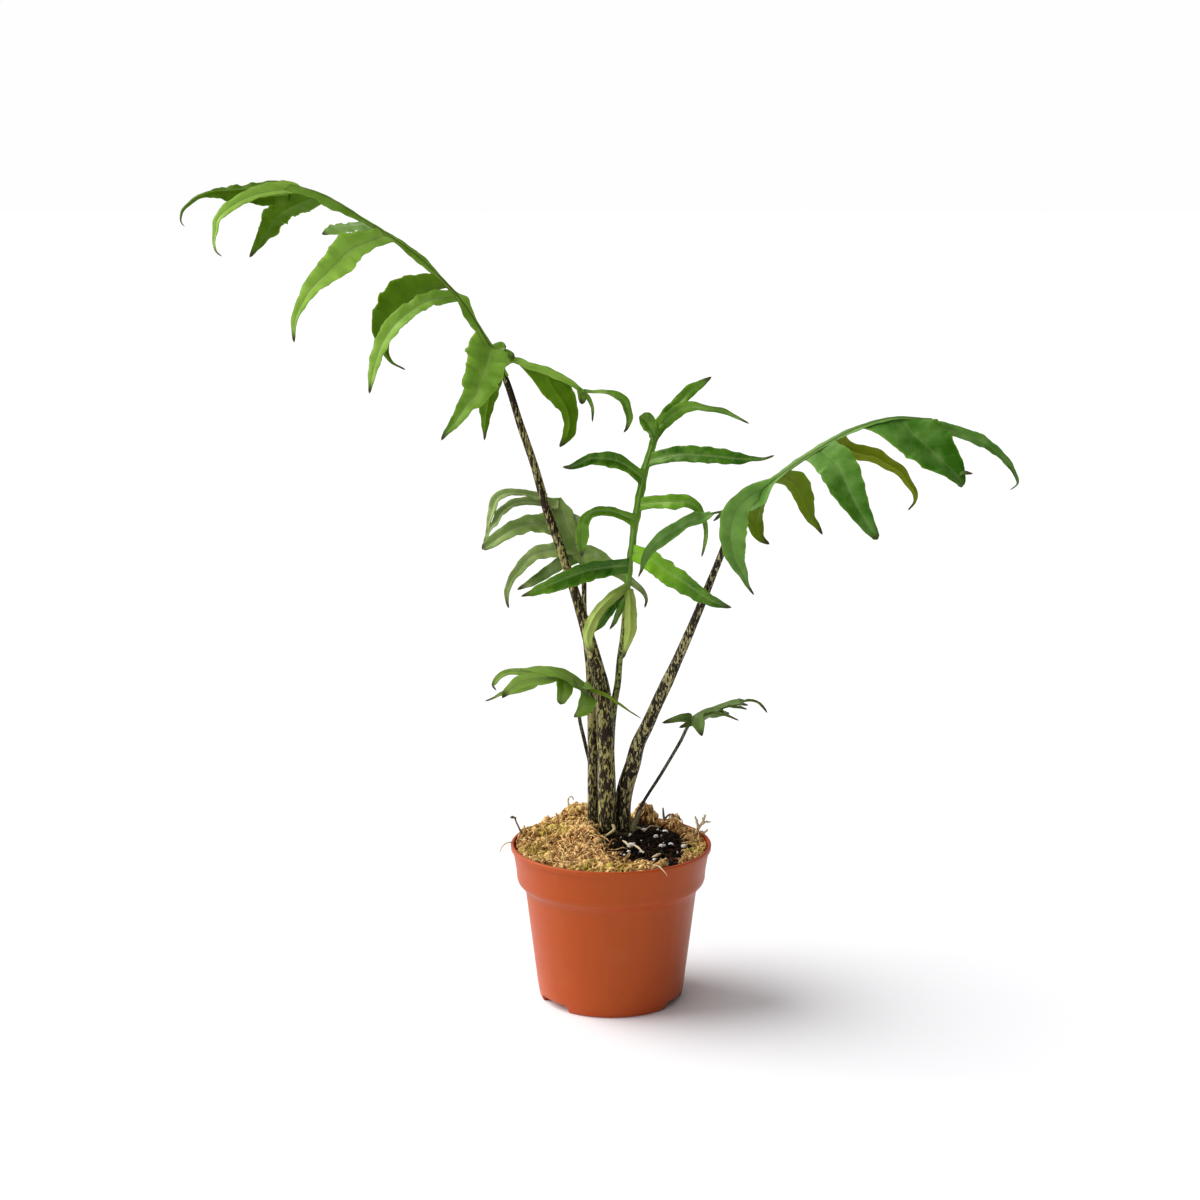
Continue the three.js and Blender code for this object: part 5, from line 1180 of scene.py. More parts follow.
# %% The middle leaf
middle_leaf = {
  "name": "middle", "up": [0, -1, 0.3], "joint": 8, "cover": 0.0,
  "wing": [[0, 1.5, 1.5], [12, 2, 2], [30, 2, 2], [50, 2.4, 2.4], [100, 2.2, 2.2]],
  "stalk": [
    [-1, 24, 99.8, 3.2], [-1, 23, 129, 3], [0, 20, 160, 2.6], [2, 14, 178, 2.2],
    [4, 9, 191, 2], [5, 5, 205, 1.9], [7, 1, 221, 1.8], [8, -3, 236, 1.7], [9, -6, 245, 1.6],
    [10, -8, 259, 1.6], [12, -9, 277, 1.5], [14, -9, 292, 1.4], [16, -8, 303, 1.3],
    [19, -6, 319, 1.2], [24, -2, 335, 1.1], [28, 3, 346, 1],
  ],
  "lobes": {
    "tip": {"end": True, "tone": [0.6, 0.4], "rows": [
      [24, -2, 337, 1.2], [28, 2, 346, 3], [33, 5, 352, 3.5, 3], [40, 6, 359, 3.5, 3],
      [46, 7, 365, 3.5, 3],
      [52, 8, 369, 2], [58, 8, 373, 0.5]]},
    "top_right": {"end": True, "tone": 0.6, "rows": [
      [24, -2, 336, 1.2], [29, 2, 345, 3], [36, 1, 352, 3.5], [42, -1, 356, 3.5, 3],
      [49, -3, 357, 2.5, 2],
      [56, -5, 356, 1.5], [64, -7, 355, 1.5], [71, -9, 352, 0.9], [79, -10, 348, 0.4]]},
    "top_left": {"tone": 0.5, "rows": [
      [26, 0, 338, 3.5, 3], [23, -3, 344, 4.5, 5], [20, -7, 349, 5], [16, -11, 352, 3]]},
    "right_1": {"root": 4, "tone": [0.9, 0.7], "rows": [
      [22, -4, 326, 4], [30, -8, 328.5, 4], [39, -11, 330.5, 4.5], [51, -15, 330.5, 4.8],
      [62, -18, 330, 4.5],
      [72, -20, 329, 3.5], [80, -20, 329, 1.5], [87, -20, 329, 0.8], [93, -20, 331, 0.4]]},
    "left_1": {"root": 4, "tone": [0.6, 0.9], "rows": [
      [18, -7, 316, 4], [12, -10, 321, 3], [7, -13, 325, 3.5], [0, -16, 328, 4.5],
      [-7, -19, 329, 3.5],
      [-13, -22, 329, 3], [-20, -24, 326, 2], [-24, -25, 325, 1.2], [-28, -25, 325, 0.4]]},
    "right_2": {"root": 3.5, "tone": 0.45, "rows": [
      [17, -8, 301, 4], [23, -12, 302.5, 3.5], [30, -15, 303.5, 3.8, 3.5], [37, -18, 304, 4.5, 4],
      [44, -20, 304, 3, 3.5], [49, -22, 301, 2.5], [52, -22, 296, 1.5], [54, -22, 290, 1.2],
      [54, -21, 282, 1], [52, -20, 272, 0.4]]},
    "left_2": {"root": 4, "tone": 0.45, "rows": [
      [14, -9, 291, 3.5], [7, -13, 295, 2.5], [0, -17, 298, 2.5], [-7, -21, 299, 2.5],
      [-12, -25, 298, 2.5], [-16, -28, 294, 3.5], [-17, -28, 288, 4], [-17, -28, 282, 3.5],
      [-17, -27, 276, 1.5], [-17, -27, 273, 0.5]]},
    # Its pale base is a painted highlight beside the midrib.
    "right_3": {"root": 4, "tone": [0.0, 1.0], "rows": [
      [12, -9, 273, 4], [22, -15, 270, 6, 5.5], [33, -20, 263, 6.8, 6.5], [42, -24, 258, 6.5, 6],
      [51, -27, 252, 5, 4.5], [60, -28, 247, 2.8], [69, -29, 244, 0.4]]},
    "left_3": {"root": 4, "tone": [1.0, 0.5], "rows": [
      [11, -9, 265, 4], [-3, -16, 265, 5, 4.5], [-15, -22, 264, 6, 5], [-28, -26, 260, 5.5, 4.5],
      [-39, -29, 256, 4, 3.5], [-52, -31, 251, 0.4]]},
    "low_1": {"root": 2, "roll": [-50, -60], "shows": "lower", "tone": [0.5, 0.0], "rows": [
      [9, -9, 252, 3], [0, -16, 247, 3], [-7, -21, 241, 3], [-11, -24, 235, 3.5],
      [-14, -25, 225, 3], [-11, -24, 216, 1]]},
    "low_2": {"roll": [30, 30], "tone": 1.0, "rows": [
      [8, -7, 251, 3], [2, -10, 245, 3.5], [-3, -12, 238, 3.5], [-7, -13, 232, 3],
      [-11, -13, 226, 0.5]]},
    "low_3": {"roll": [30, 30], "tone": 0.7, "rows": [
      [9, -8, 248, 1.5], [5, -11, 240, 2], [2, -13, 233, 1.5], [-1, -14, 228, 0.5]]},
    "low_4": {"end": True, "shows": "lower", "tone": [0.4, 0.0], "rows": [
      [10, -8, 251, 2.5], [11, -14, 244, 3], [11, -17, 236, 3.5], [11, -19, 228, 3, 3.5],
      [9, -20, 220, 1.5, 2], [7, -19, 212, 0.5]]},
  },
}
print("middle leaf:", len(middle_leaf["lobes"]), "lobes")

# %% [markdown]
# The back leaf is half hidden by the stalks. Most of its lobes reach out to the left.

# %% The back leaf
back_leaf = {
  "name": "back", "up": [0, -0.7, 1], "joint": 7,
  "wing": [[0, 2, 2], [8, 6, 5], [20, 10, 6], [30, 12, 6], [40, 8, 6]],
  "stalk": [
    [-11, 19, 99.8, 3.3], [-11, 19, 128, 3.2], [-11, 21, 155, 3], [-12, 23, 177, 2.6],
    [-13, 25, 195, 2.2], [-15, 27, 213, 1.9], [-16, 29, 231, 1.6], [-17, 32, 258, 1.5],
    [-21, 36, 268, 1.5], [-26, 41, 277, 1.4], [-30, 46, 287, 1.2], [-35, 49, 293, 1],
  ],
  "lobes": {
    "left_1": {"end": True, "tone": 0.4, "rows": [
      [-32, 47, 291, 5], [-39, 46, 293, 4], [-46, 45, 294, 3.5], [-55, 43, 294, 3],
      [-61, 41, 292, 3], [-66, 39, 288, 3], [-69, 37, 283, 2.5], [-72, 36, 279, 1.5],
      [-75, 34, 273, 1.2], [-76, 33, 268, 0.5]]},
    "left_0": {"end": True, "tone": 0.3, "rows": [
      [-39, 45, 295, 4], [-44, 44, 297, 3.5], [-50, 43, 299, 2.5], [-58, 42, 300, 2.5],
      [-65, 41, 299, 3],
      [-69, 40, 296, 3], [-71, 39, 290, 2.5], [-73, 38, 283, 1.5], [-75, 37, 273, 0.6]]},
    "left_2": {"root": [9, 8], "tone": 0.4, "rows": [
      [-27, 43, 279, 8.5, 7], [-39, 40, 281, 6.5], [-48, 37, 282, 5.5, 5],
      [-57, 34, 280, 5.5, 4.5],
      [-65, 31, 276, 4.5, 4], [-72, 30, 271, 3.5], [-77, 29, 268, 1.5]]},
    "left_3": {"root": 8, "tone": 0.3, "rows": [
      [-22, 37, 270, 7, 6], [-35, 31, 267, 5.5, 4], [-43, 29, 266, 4.5, 4], [-49, 27, 263, 4, 3],
      [-54, 26, 257, 3], [-59, 25, 251, 2], [-62, 24, 243, 1.5], [-62, 24, 237, 0.9],
      [-61, 24, 233, 0.5]]},
    "left_4": {"tone": 0.8, "rows": [
      [-19, 34, 265, 5.5], [-32, 29, 258, 3.5], [-40, 27, 253, 3], [-47, 25, 249, 2.5, 2],
      [-56, 25, 244, 0.5]]},
    "right_1": {"tone": 0.6, "rows": [
      [-18, 33, 264, 5.5], [-11, 28, 265, 5.5, 5], [-2, 25, 260, 4.5, 4], [5, 23, 255, 3.5, 3],
      [13, 21, 249, 2], [19, 20, 244, 1.5, 1.2], [21, 20, 239, 0.8], [20, 20, 234, 0.5]]},
    "right_2": {"tone": 0.8, "rows": [
      [-23, 40, 273, 6, 5.5], [-20, 50, 278, 6, 7], [-21, 58, 281, 5, 6.5],
      [-22, 66, 283, 2, 2.5]]},
  },
}
print("back leaf:", len(back_leaf["lobes"]), "lobes")

# %% [markdown]
# The two low leaves are small ones on thin dark stalks. The left one bends over the
# stalks to the left, with one lobe that points back to the right.

# %% The low left leaf
low_left_leaf = {
  "name": "low_left", "up": [0.1, -0.5, 1], "joint": 6,
  "wing": [[0, 6, 3], [10, 9, 3.5], [22, 8, 3], [34, 5, 2], [41, 1.5, 1]],
  "stalk": [
    [-6, 26, 99.8, 1.4], [-9, 25, 121, 1.1], [-13, 25, 138, 1.1], [-16, 22, 152, 1.1],
    [-19, 15, 169, 1.1], [-18, 9, 180, 1.1], [-16, 5, 188, 1.1],
    [-23, 2, 195, 1.2], [-32, -1, 200, 1.1], [-44, -4, 202, 0.9], [-52, -6, 202, 0.7],
  ],
  "lobes": {
    "tip": {"end": True, "roll": [-60, -60], "tone": 0.1, "rows": [
      [-31, -1, 196, 3.5], [-41, -4, 197, 4], [-48, -6, 196.5, 4], [-54, -7, 195, 3.8],
      [-58, -8, 192, 3.2], [-62, -9, 189, 2], [-64, -10, 186, 0.5]]},
    "far_1": {"end": True, "roll": [-60, -60], "tone": 0.6, "rows": [
      [-44, -3, 200, 2], [-54, -1, 200, 1.8], [-61, 2, 199, 1.6], [-66, 4, 196, 1.6],
      [-69, 5, 192, 1.4], [-70, 5, 190, 0.8], [-68, 5, 187, 0.5]]},
    "far_2": {"end": True, "roll": [-60, -60], "tone": 0.4, "rows": [
      [-39, 2, 196, 2.8], [-48, 4, 191, 2.8], [-61, 6, 186, 1.7], [-65, 6, 185, 1.1],
      [-70, 7, 182, 0.6], [-75, 7, 180, 0.4]]},
    "near_1": {"root": 5, "tone": 0.9, "rows": [[-28, -1, 196, 5.5], [-28, -6, 190, 5, 4.5],
      [-30, -9, 182, 2]]},
    "near_2": {"root": 6, "tone": 0.8, "rows": [
      [-19, 4, 189, 8], [-15, -4, 184, 8], [-17, -7, 179, 6], [-22, -8, 174, 1]]},
    "basal": {"end": True, "roll": [-60, -60], "tone": 0.3, "rows": [
      [-17, 4, 190, 3.4], [-11, 1, 188, 3.4], [-2, -2, 185, 3], [5, -5, 181, 2.3],
      [11, -6, 177, 1.5], [18, -8, 173, 0.4]]},
  },
}
print("low left leaf:", len(low_left_leaf["lobes"]), "lobes")

# %% [markdown]
# The right one is the smallest leaf. It is seen nearly from its edge, so its lobes
# look short.

# %% The low right leaf
low_right_leaf = {
  "name": "low_right", "up": [0, -0.6, 1], "joint": 5,
  "wing": [[0, 2, 3], [10, 2, 4], [30, 2, 3]],
  "stalk": [
    [15, 14, 99.8, 1.6], [15, 14, 104, 1.5], [19, 13, 115, 1], [30, 8, 135, 1], [41, 3, 156, 1],
    [47, -1, 169, 1], [53, -2, 174, 1], [62, -3, 178, 0.9], [70, -4, 181, 0.8],
      [76, -5, 183, 0.7],
  ],
  "lobes": {
    "tip": {"end": True, "roll": [-60, -60], "tone": 0.6, "rows": [
      [75, -5, 182, 2.6], [81, -6, 183.5, 1.8, 2], [86, -6, 182.5, 1.5], [89, -6, 180, 1.1],
      [92, -6, 176, 0.5]]},
    "basal_1": {"end": True, "roll": [-60, -60], "tone": 0.6, "rows": [
      [48, -1, 171.5, 3], [42, -5, 173, 2.2], [36, -7, 172, 1.5], [30, -8, 170.5, 0.5]]},
    "basal_2": {"end": True, "roll": [-60, -60], "tone": 0.8, "rows": [
      [48, -1, 170, 2.5], [45, -7, 169.5, 1.5], [40, -9, 168, 0.5]]},
    "near_1": {"tone": 0.5, "rows": [[51, -2, 173, 4.5], [52, -8, 169, 3.5],
      [53.5, -10, 163, 0.6]]},
    "near_2": {"roll": [40, 40], "tone": 0.5, "rows": [
      [60, -3, 175, 6], [66, -9, 176, 3.5], [75, -12, 173, 0.8]]},
    "near_3": {"roll": [40, 40], "tone": 0.5, "rows": [[69, -4, 179, 5], [75, -8, 180, 3],
      [80, -9, 179, 0.8]]},
    "far_1": {"roll": [20, 20], "tone": 0.7, "rows": [
      [55, -2, 174, 4.5], [60, 8, 173, 4], [65, 14, 171, 3], [71, 20, 169, 0.8]]},
    "far_2": {"roll": [20, 20], "tone": 0.7, "rows": [
      [65, -3, 180, 3], [72, 5, 179, 2.5], [77, 10, 178, 1.5], [82, 13, 176, 0.5]]},
  },
}
print("low right leaf:", len(low_right_leaf["lobes"]), "lobes")

# %% All six together
LEAVES = [left_leaf, right_leaf, middle_leaf, back_leaf, low_left_leaf, low_right_leaf]
print(len(LEAVES), "leaves,", sum(len(leaf["lobes"]) for leaf in LEAVES), "lobes")

# %% [markdown]
# ## Leaf stalks
#
# The stalks are the plant's best-known feature: cream or olive, and marked all over
# with dark brown, like a reptile's skin. Each is a round tube, stout where it
# clasps the stem and thin under the blade, with a surface that isn't quite even.
#
# The marks are flecks about a millimetre across, drawn out along the stalk, and they
# run together at both ends of it. Two noises of different sizes make them: the
# large one shifts the threshold of the small one, so some stretches are darker.

# %% Finish: mottled stalk skin
FLECK_DRAW = 0.28  # a fleck is nearly four times as long as it is wide
FOOT_DARK_FROM, FOOT_DARK_TO = 97 * MM, 128 * MM
COVER_GAIN = 0.17  # how far the threshold moves from no flecks to flecks all over


def mottled(name, ground, blotch, pale, fleck, cover, top):
    """A stalk's skin: ground with flecks of blotch, fleck metres across and drawn out
    along the stalk, and pale streaks between. The flecks cover about the share cover
    of its lower part and the share top under the blade."""
    material, tree, shader = new_material(name)
    place = add(tree, "TexCoord").outputs["Object"]
    drawn = add(tree, "Mapping", {"Vector": place, "Scale": (1, 1, FLECK_DRAW)})
    small = add(tree, "TexNoise", {"Vector": drawn, "Scale": 1 / fleck, "Detail": 2.5,
                                   "Roughness": 0.6, "Distortion": 0.6})
    large = add(tree, "TexNoise", {"Vector": drawn, "Scale": 0.16 / fleck, "Detail": 2.0})
    fine = add(tree, "TexNoise", {"Vector": drawn, "Scale": 2.6 / fleck, "Detail": 2.0})

    # What shifts the flecks' threshold: the large noise, the stalk's top and its foot, where the flecks
    # grow denser towards the mix
    swing = add(tree, "MapRange", {"Value": large, "From Min": 0.3, "From Max": 0.7,
                                   "To Min": -0.07, "To Max": 0.07})
    high = add(tree, "Attribute", attribute_name="high").outputs["Fac"]
    darker = add(tree, "MapRange", {"Value": high, "From Min": 0.55, "From Max": 0.95,
                                    "To Max": COVER_GAIN * (top - cover)},
                 interpolation_type="SMOOTHSTEP")
    height = add(tree, "SeparateXYZ", {"Vector": place}).outputs["Z"]
    darker_foot = add(tree, "MapRange", {"Value": height, "From Min": FOOT_DARK_FROM, "From Max": FOOT_DARK_TO,
                                   "To Min": 0.07, "To Max": 0.0})
    swung = add(tree, "Math", {0: small, 1: swing}, operation="ADD")
    ends = add(tree, "Math", {0: darker, 1: darker_foot}, operation="ADD")
    marked = add(tree, "Math", {0: swung, 1: ends}, operation="ADD")

    # Flecks over streaks over the ground
    level = 0.5 + COVER_GAIN * (0.5 - cover)
    flecks = add(tree, "MapRange", {"Value": marked, "From Min": level - 0.02,
                                    "From Max": level + 0.025}, interpolation_type="SMOOTHSTEP")
    streaks = add(tree, "MapRange", {"Value": fine, "From Min": 0.5, "From Max": 0.62,
                                     "To Max": 0.75}, interpolation_type="SMOOTHSTEP")
    skin = linear(ground)
    for share, colour in ((streaks, pale), (flecks, blotch)):
        skin = add(tree, "Mix", {"Factor": share, "A": skin, "B": linear(colour)}, data_type="RGBA")
    relief = add(tree, "Bump", {"Height": small, "Strength": 0.15, "Distance": 0.3 * MM})
    feed(tree, shader, {"Base Color": skin, "Normal": relief, "Roughness": 0.5,
                        "Specular IOR Level": 0.16})
    return material


# %% The six stalks
STALK_STATIONS, STALK_SIDES = 160, 28
STALK_UNEVEN, UNEVEN_LENGTH = 0.05, 14.0
STALK_SKINS = {  # ground, blotch, pale streak, fleck in metres, share covered below and above
    "left": ("#8e864a", "#261b0c", "#cfc48c", 1.25 * MM, 0.72, 0.95),
    "right": ("#8e8652", "#20180d", "#d4caa0", 1.25 * MM, 0.65, 1.0),
    "middle": ("#76803a", "#2e2812", "#a9b066", 1.1 * MM, 0.55, 0.4),
    "back": ("#8e864e", "#2c2212", "#c8be8c", 1.1 * MM, 0.62, 0.5),
    "low_left": ("#5f5a40", "#211c17", "#8f8864", 0.7 * MM, 0.75, 0.8),
    "low_right": ("#66624c", "#2a2520", "#8f8a70", 0.7 * MM, 0.70, 0.6),
}

for leaf in LEAVES:
    name = leaf["name"]
    path = smooth_path(leaf["stalk"], STALK_STATIONS, stop=leaf["joint"])
    thick = path[:, 3] * (1 + STALK_UNEVEN * waves(path[:, :3], UNEVEN_LENGTH, 90))
    stalk = tubes(path[None, :, :3], thick[None], STALK_SIDES,
                  {"high": np.linspace(0, 1, STALK_STATIONS)[None]})
    skin = mottled(f"mottled_stalk_skin_{name}", *STALK_SKINS[name])
    build(f"stalk_{name}", stalk, skin, [f"petiole_{name}"])

# %% [markdown]
# ## Blades
#
# Each blade is cut into long lobes. A lobe is folded along its midrib like a shallow
# boat, its margins curl down and ripple, and its tip runs out into a hair that may
# curl. The lobe's base lies along the rib, so neighbours meet in rounded bays.
#
# So a lobe is a closed tube pressed flat. Across it runs u, from -1 at one margin
# over 0 at the midrib to 1 at the other. Its height over the middle line is the sum
# of a rounded fold, a droop at the margins, ripples that grow towards the margins,
# and small cushions between the side veins. The midrib is a groove above and a
# ridge below. A real blade could be modelled by hand or by cloth, but a formula
# keeps every lobe on its place in the photograph.

# %% Places across a flat tube
HALF_THICK = 0.22


def lanes_round(steps):
    """u once round a flat tube, from -1 to 1 over the upper face and back over the
    lower one, with steps lanes on each side of the midrib that lie closer together
    there and at the margins. With it comes 1 on the upper face and 0 on the lower."""
    half = smooth(np.linspace(0, 1, steps + 1))
    lanes = np.r_[-half[::-1], half[1:]]
    back = lanes[-2:0:-1]
    return np.r_[lanes, back], np.r_[np.ones(len(lanes)), np.zeros(len(back))]


# %% Which way a lobe's edges and its face look
TWIST, TWIST_LENGTH = math.radians(14), 14
FRONT = np.array([0.0, -1.0, 0.2])  # roughly towards the lens


def lobe_axes(along, first_side, t, length, roll, shows, dice):
    """The first side vector is carried along, and the face is square to it and to the
    way on. Both are turned by the roll and a slow seeded twist: cross is side cos(a)
    - face sin(a) and normal is face cos(a) + side sin(a)."""
    sides = carried_sides(along, first_side)
    flats = np.cross(sides, along)
    facing = np.sign(flats[len(flats) // 2] @ FRONT) * (1 if shows == "upper" else -1)
    faces = flats * facing
    turn = np.radians(roll[0] + (roll[1] - roll[0]) * t) * smooth(t / 0.3)
    turn = turn + TWIST * t * np.sin(length * t / TWIST_LENGTH + dice.uniform(*ANY_TURN))
    cross = sides * np.cos(turn) - faces * np.sin(turn)
    normal = faces * np.cos(turn) + sides * np.sin(turn)
    return cross[:, None], normal[:, None]


# %% How wide a lobe is
SPARE = 0.3  # added to each half width, which the fold and the ripples take up
BLUNT = 2.5  # how much of the tip is rounded off
SCALLOP, SCALLOP_GAIN, NICK, NICK_GAIN = 9.0, 0.32, 3.7, 0.10  # the outline's ripples


def lobe_widths(path, u, along_mm, length, ruffle, phases):
    """The rows' half width towards the base, rounded at the tip as a circle is, and
    the whole outline: the half width on each side times 1 + 0.32 ruffle sin(...)
    + 0.10 ruffle sin(...) for the scallops and the nicks."""
    blunt = np.minimum(BLUNT, path[-1, 3:].max())
    rounding = np.sqrt(1 - np.clip(1 - (length - along_mm) / blunt, 0, 0.97) ** 2)
    size = path[:, 3:4] * rounding
    scallop_phase, nick_phase = (np.where(u < 0, phases[i], phases[i + 1]) for i in (0, 1))
    outline = 1 + SCALLOP_GAIN * ruffle * np.sin(2 * np.pi * along_mm / SCALLOP + scallop_phase)
    outline = outline + NICK_GAIN * ruffle * np.sin(2 * np.pi * along_mm / NICK + nick_phase)
    wide = np.where(u < 0, size, path[:, 4:] * rounding) * outline + SPARE * np.minimum(1, size / 2)
    return size, wide


# %% How high a lobe stands over its middle line, and how thick it is
FOLD, FOLD_ROUND, DROOP = 0.34, 0.12, 0.10
RIPPLE, OVERTONE = (9, 13), 0.4  # the span of lengths of the ripples in its height
SWELL, SWELL_LENGTH = 0.3, 9
VEIN_STEP, VEIN_SLANT, CUSHION = 5.0, 0.8, 0.05
GROOVE, GROOVE_WIDTH, RIDGE = 0.22, 0.8, 2.6  # the ridge below is so many grooves high


def lobe_height(u, t, along_mm, size, veins, ruffle, wave_long, phases):
    """Half width times the fold, 0.34 (sqrt(u^2 + 0.12^2) - 0.12) - 0.10 u^4, plus
    ripples that grow with u^2 and swell slowly, plus cushions between the veins."""
    free = smooth(t / 0.25) * smooth((1 - t) / 0.12)
    fold = FOLD * (np.sqrt(u**2 + FOLD_ROUND**2) - FOLD_ROUND) - DROOP * u**4
    low_phase, high_phase = (np.where(u < 0, phases[i], phases[5 - i]) for i in (2, 3))
    ripple = np.sin(2 * np.pi * along_mm / wave_long + low_phase)
    ripple = ripple + OVERTONE * np.sin(5 * np.pi * along_mm / wave_long + high_phase)
    slow = 1 - SWELL + SWELL * np.sin(along_mm / SWELL_LENGTH + phases[0])
    height = size * fold + ruffle * size * u**2 * ripple * slow * free
    cushion = np.abs(np.sin(np.pi * veins)) - 0.6
    return height + CUSHION * cushion * np.sin(np.pi * np.abs(u)) * np.minimum(1, size / 4) * free


def lobe_faces(u, upper, off, size):
    """How far each face is from the leaf's middle: 0.22 (1 - u^6), less a groove over
    the midrib above and with a ridge under it below. They meet at the margins."""
    groove = GROOVE * np.exp(-((off / GROOVE_WIDTH) ** 2)) * np.minimum(1, size / 3)
    skin = HALF_THICK * (1 - u**6) * np.minimum(1, size)
    top = np.where(np.abs(u) == 1, 0, skin - groove)
    return np.where(upper > 0, top, -skin - RIDGE * groove)


# %% One lobe
LOBE_STEP, LEAST_STATIONS, LOBE_LANES = 1.3, 16, 12
WEB_SHARE, WEB_MOST = 0.25, 9.0
FLARE, FLARE_REACH = 5.0, 2.6
HARD_TIP, HARD_FADE, HARD_HALF_WIDTH = 8, 6, 3.2


def lobe(rib, rows, up, first, ruffle, cover, seed, root=None, web=None, end=False, side=None,
         roll=(0, 0), shows="upper", tone=0.5):
    """One lobe on a rib, as a closed shell with its marks. A row holds a point of the
    midrib and the half width towards the blade's base, and after it that towards the
    tip where it differs. root is how far its base runs along the rib each way, and web
    how soon the lobe is free of it. cover is how far over the rib it is laid, in rib
    radii. side is where its far margin lies at the start, roll turns it about its
    midrib, and shows is the face in front. tone is how deep its green is, or a pair
    for base and tip. It is partly the lobe's own green and partly painted light and
    shade, such as a pale base that stands for a highlight."""
    both = np.array([row[:4] + row[-1:] for row in rows], float)
    near_root, far_root = np.broadcast_to(both[0, 3:] if root is None else root, 2)
    length = reaches(both)[-1]
    web = min(WEB_SHARE * length, WEB_MOST) if web is None else web
    dice = np.random.default_rng(seed)
    path = smooth_path(both, max(LEAST_STATIONS, round(length / LOBE_STEP)))
    t = np.linspace(0, 1, len(path))[:, None]
    along = directions(path[:, :3])

    # Where it starts on the rib, and its shape
    reach = reaches(rib)
    away = np.where(reach >= first, np.linalg.norm(rib[:, :3] - path[0, :3], axis=1), np.inf)
    start = int(np.argmin(away))
    usual = np.cross(along[0], up) if end else directions(rib[:, :3])[start]
    first_side = usual if side is None else np.array(side, float)
    cross, normal = lobe_axes(along, first_side, t, length, roll, shows, dice)
    u, upper = lanes_round(LOBE_LANES)
    along_mm = t * length
    wave_long = dice.uniform(*RIPPLE)
    phases = dice.uniform(*ANY_TURN, 4)
    size, wide = lobe_widths(path, u, along_mm, length, ruffle, phases)
    off = np.abs(u) * wide
    veins = (along_mm - VEIN_SLANT * off) / VEIN_STEP
    height = lobe_height(u, t, along_mm, size, veins, ruffle, wave_long, phases)
    lift = lobe_faces(u, upper, off, size)

    # Near its base the lobe gives way to the rib, along which its base row lies
    spread = np.where(u < 0, near_root, far_root) + FLARE * np.exp(-along_mm / FLARE_REACH)
    rib_place = np.clip(reach[start] + u * spread, first, reach[-1])
    rooted = np.stack([np.interp(rib_place, reach, column) for column in rib[:, :3].T], -1)
    free_points = path[:, None, :3] + cross * (u * wide)[..., None] + normal * height[..., None]
    share = (np.ones_like(t) if end else smooth(along_mm / web))[..., None]
    laid = normal * (cover * rib[start, 3] * (1 - smooth(along_mm / 6)))[..., None]
    points = rooted * (1 - share) + free_points * share + normal * lift[..., None] + laid
    near_tip = smooth((HARD_TIP - length * (1 - t)) / HARD_FADE)
    return outwards(shells(points[None], {
        "edge_mm": wide - off, "rib_mm": off, "upper": upper, "stem": 0.0,
        "vein": veins + 100 * (u < 0), "hard": near_tip * smooth((HARD_HALF_WIDTH - size) / 2),
        "tone": np.interp(t, (0.15, 0.9), np.broadcast_to(tone, 2))}))


# %% The rib and the strip of blade along it
RIB_SHARE, RIB_SIDES = 0.8, 14  # the bar's radius for the row's, and its sides
STRIP_LANES, WING_STATIONS = 6, 200


def rib_bar(path):
    """The rib itself: a bar that stands a little proud of the blade."""
    marks = {"edge_mm": 99.0, "stem": 1.0, "vein": 0.5, "upper": 0.5, "tone": 0.5}
    return tubes(path[None, :, :3], path[None, :, 3] * RIB_SHARE, RIB_SIDES, marks)


def strip(path, wing, up, cover):
    """The narrow blade on both sides of the rib. A row of wing holds a distance along
    the rib and the two widths there, which two small sine waves ripple."""
    reach = reaches(path)[:, None]
    rows = smooth_path(wing, WING_STATIONS)
    widths = [np.interp(reach, rows[:, 0], rows[:, column]) for column in (1, 2)]
    along = directions(path[:, :3])
    cross = np.cross(along, up)
    cross /= np.linalg.norm(cross, axis=1, keepdims=True)
    normal = np.cross(cross, along)
    u, upper = lanes_round(STRIP_LANES)
    waved = 1 + 0.08 * np.sin(reach / 2.7 + 2 * np.sign(u)) + 0.05 * np.sin(reach / 1.3 + np.sign(u))
    wide = np.where(u < 0, *widths) * waved
    off = np.abs(u) * wide
    lift = HALF_THICK * (1 - u**6) * np.where(upper > 0, 1, -1) + 0.10 * off + cover * path[:, 3:]
    points = path[:, None, :3] + cross[:, None] * (u * wide)[..., None] + normal[:, None] * lift[..., None]
    return outwards(shells(points[None], {
        "edge_mm": wide - off, "rib_mm": off + 2, "upper": upper, "vein": 0.5, "tone": 0.5}))


# %% [markdown]
# The upper face is green with a soft waxy sheen, and the lower face is duller. Its
# green is the darker one on the large leaves and the paler one on the middle leaf.
# Midribs and side veins are a little paler than the blade, and a hair-thin dark line
# marks each midrib. Cloudy pale patches beside the midribs are a painted highlight,
# the sheen of the wax painted into the green. The margin and the slender tip are
# edged grey-brown, where the leaf has hardened. All of this is read from the marks:
# the distance to the margin and to the midrib, how hard the tip is, and the phase of
# the side veins.

# %% Finish: leaf skin
GREEN_PATCH, PORE = 11 * MM, 0.8 * MM
HARDENED = "#3a3620"  # margins, tips and the line on a midrib
UNDER_DULL = 0.25  # how much rougher the lower face is


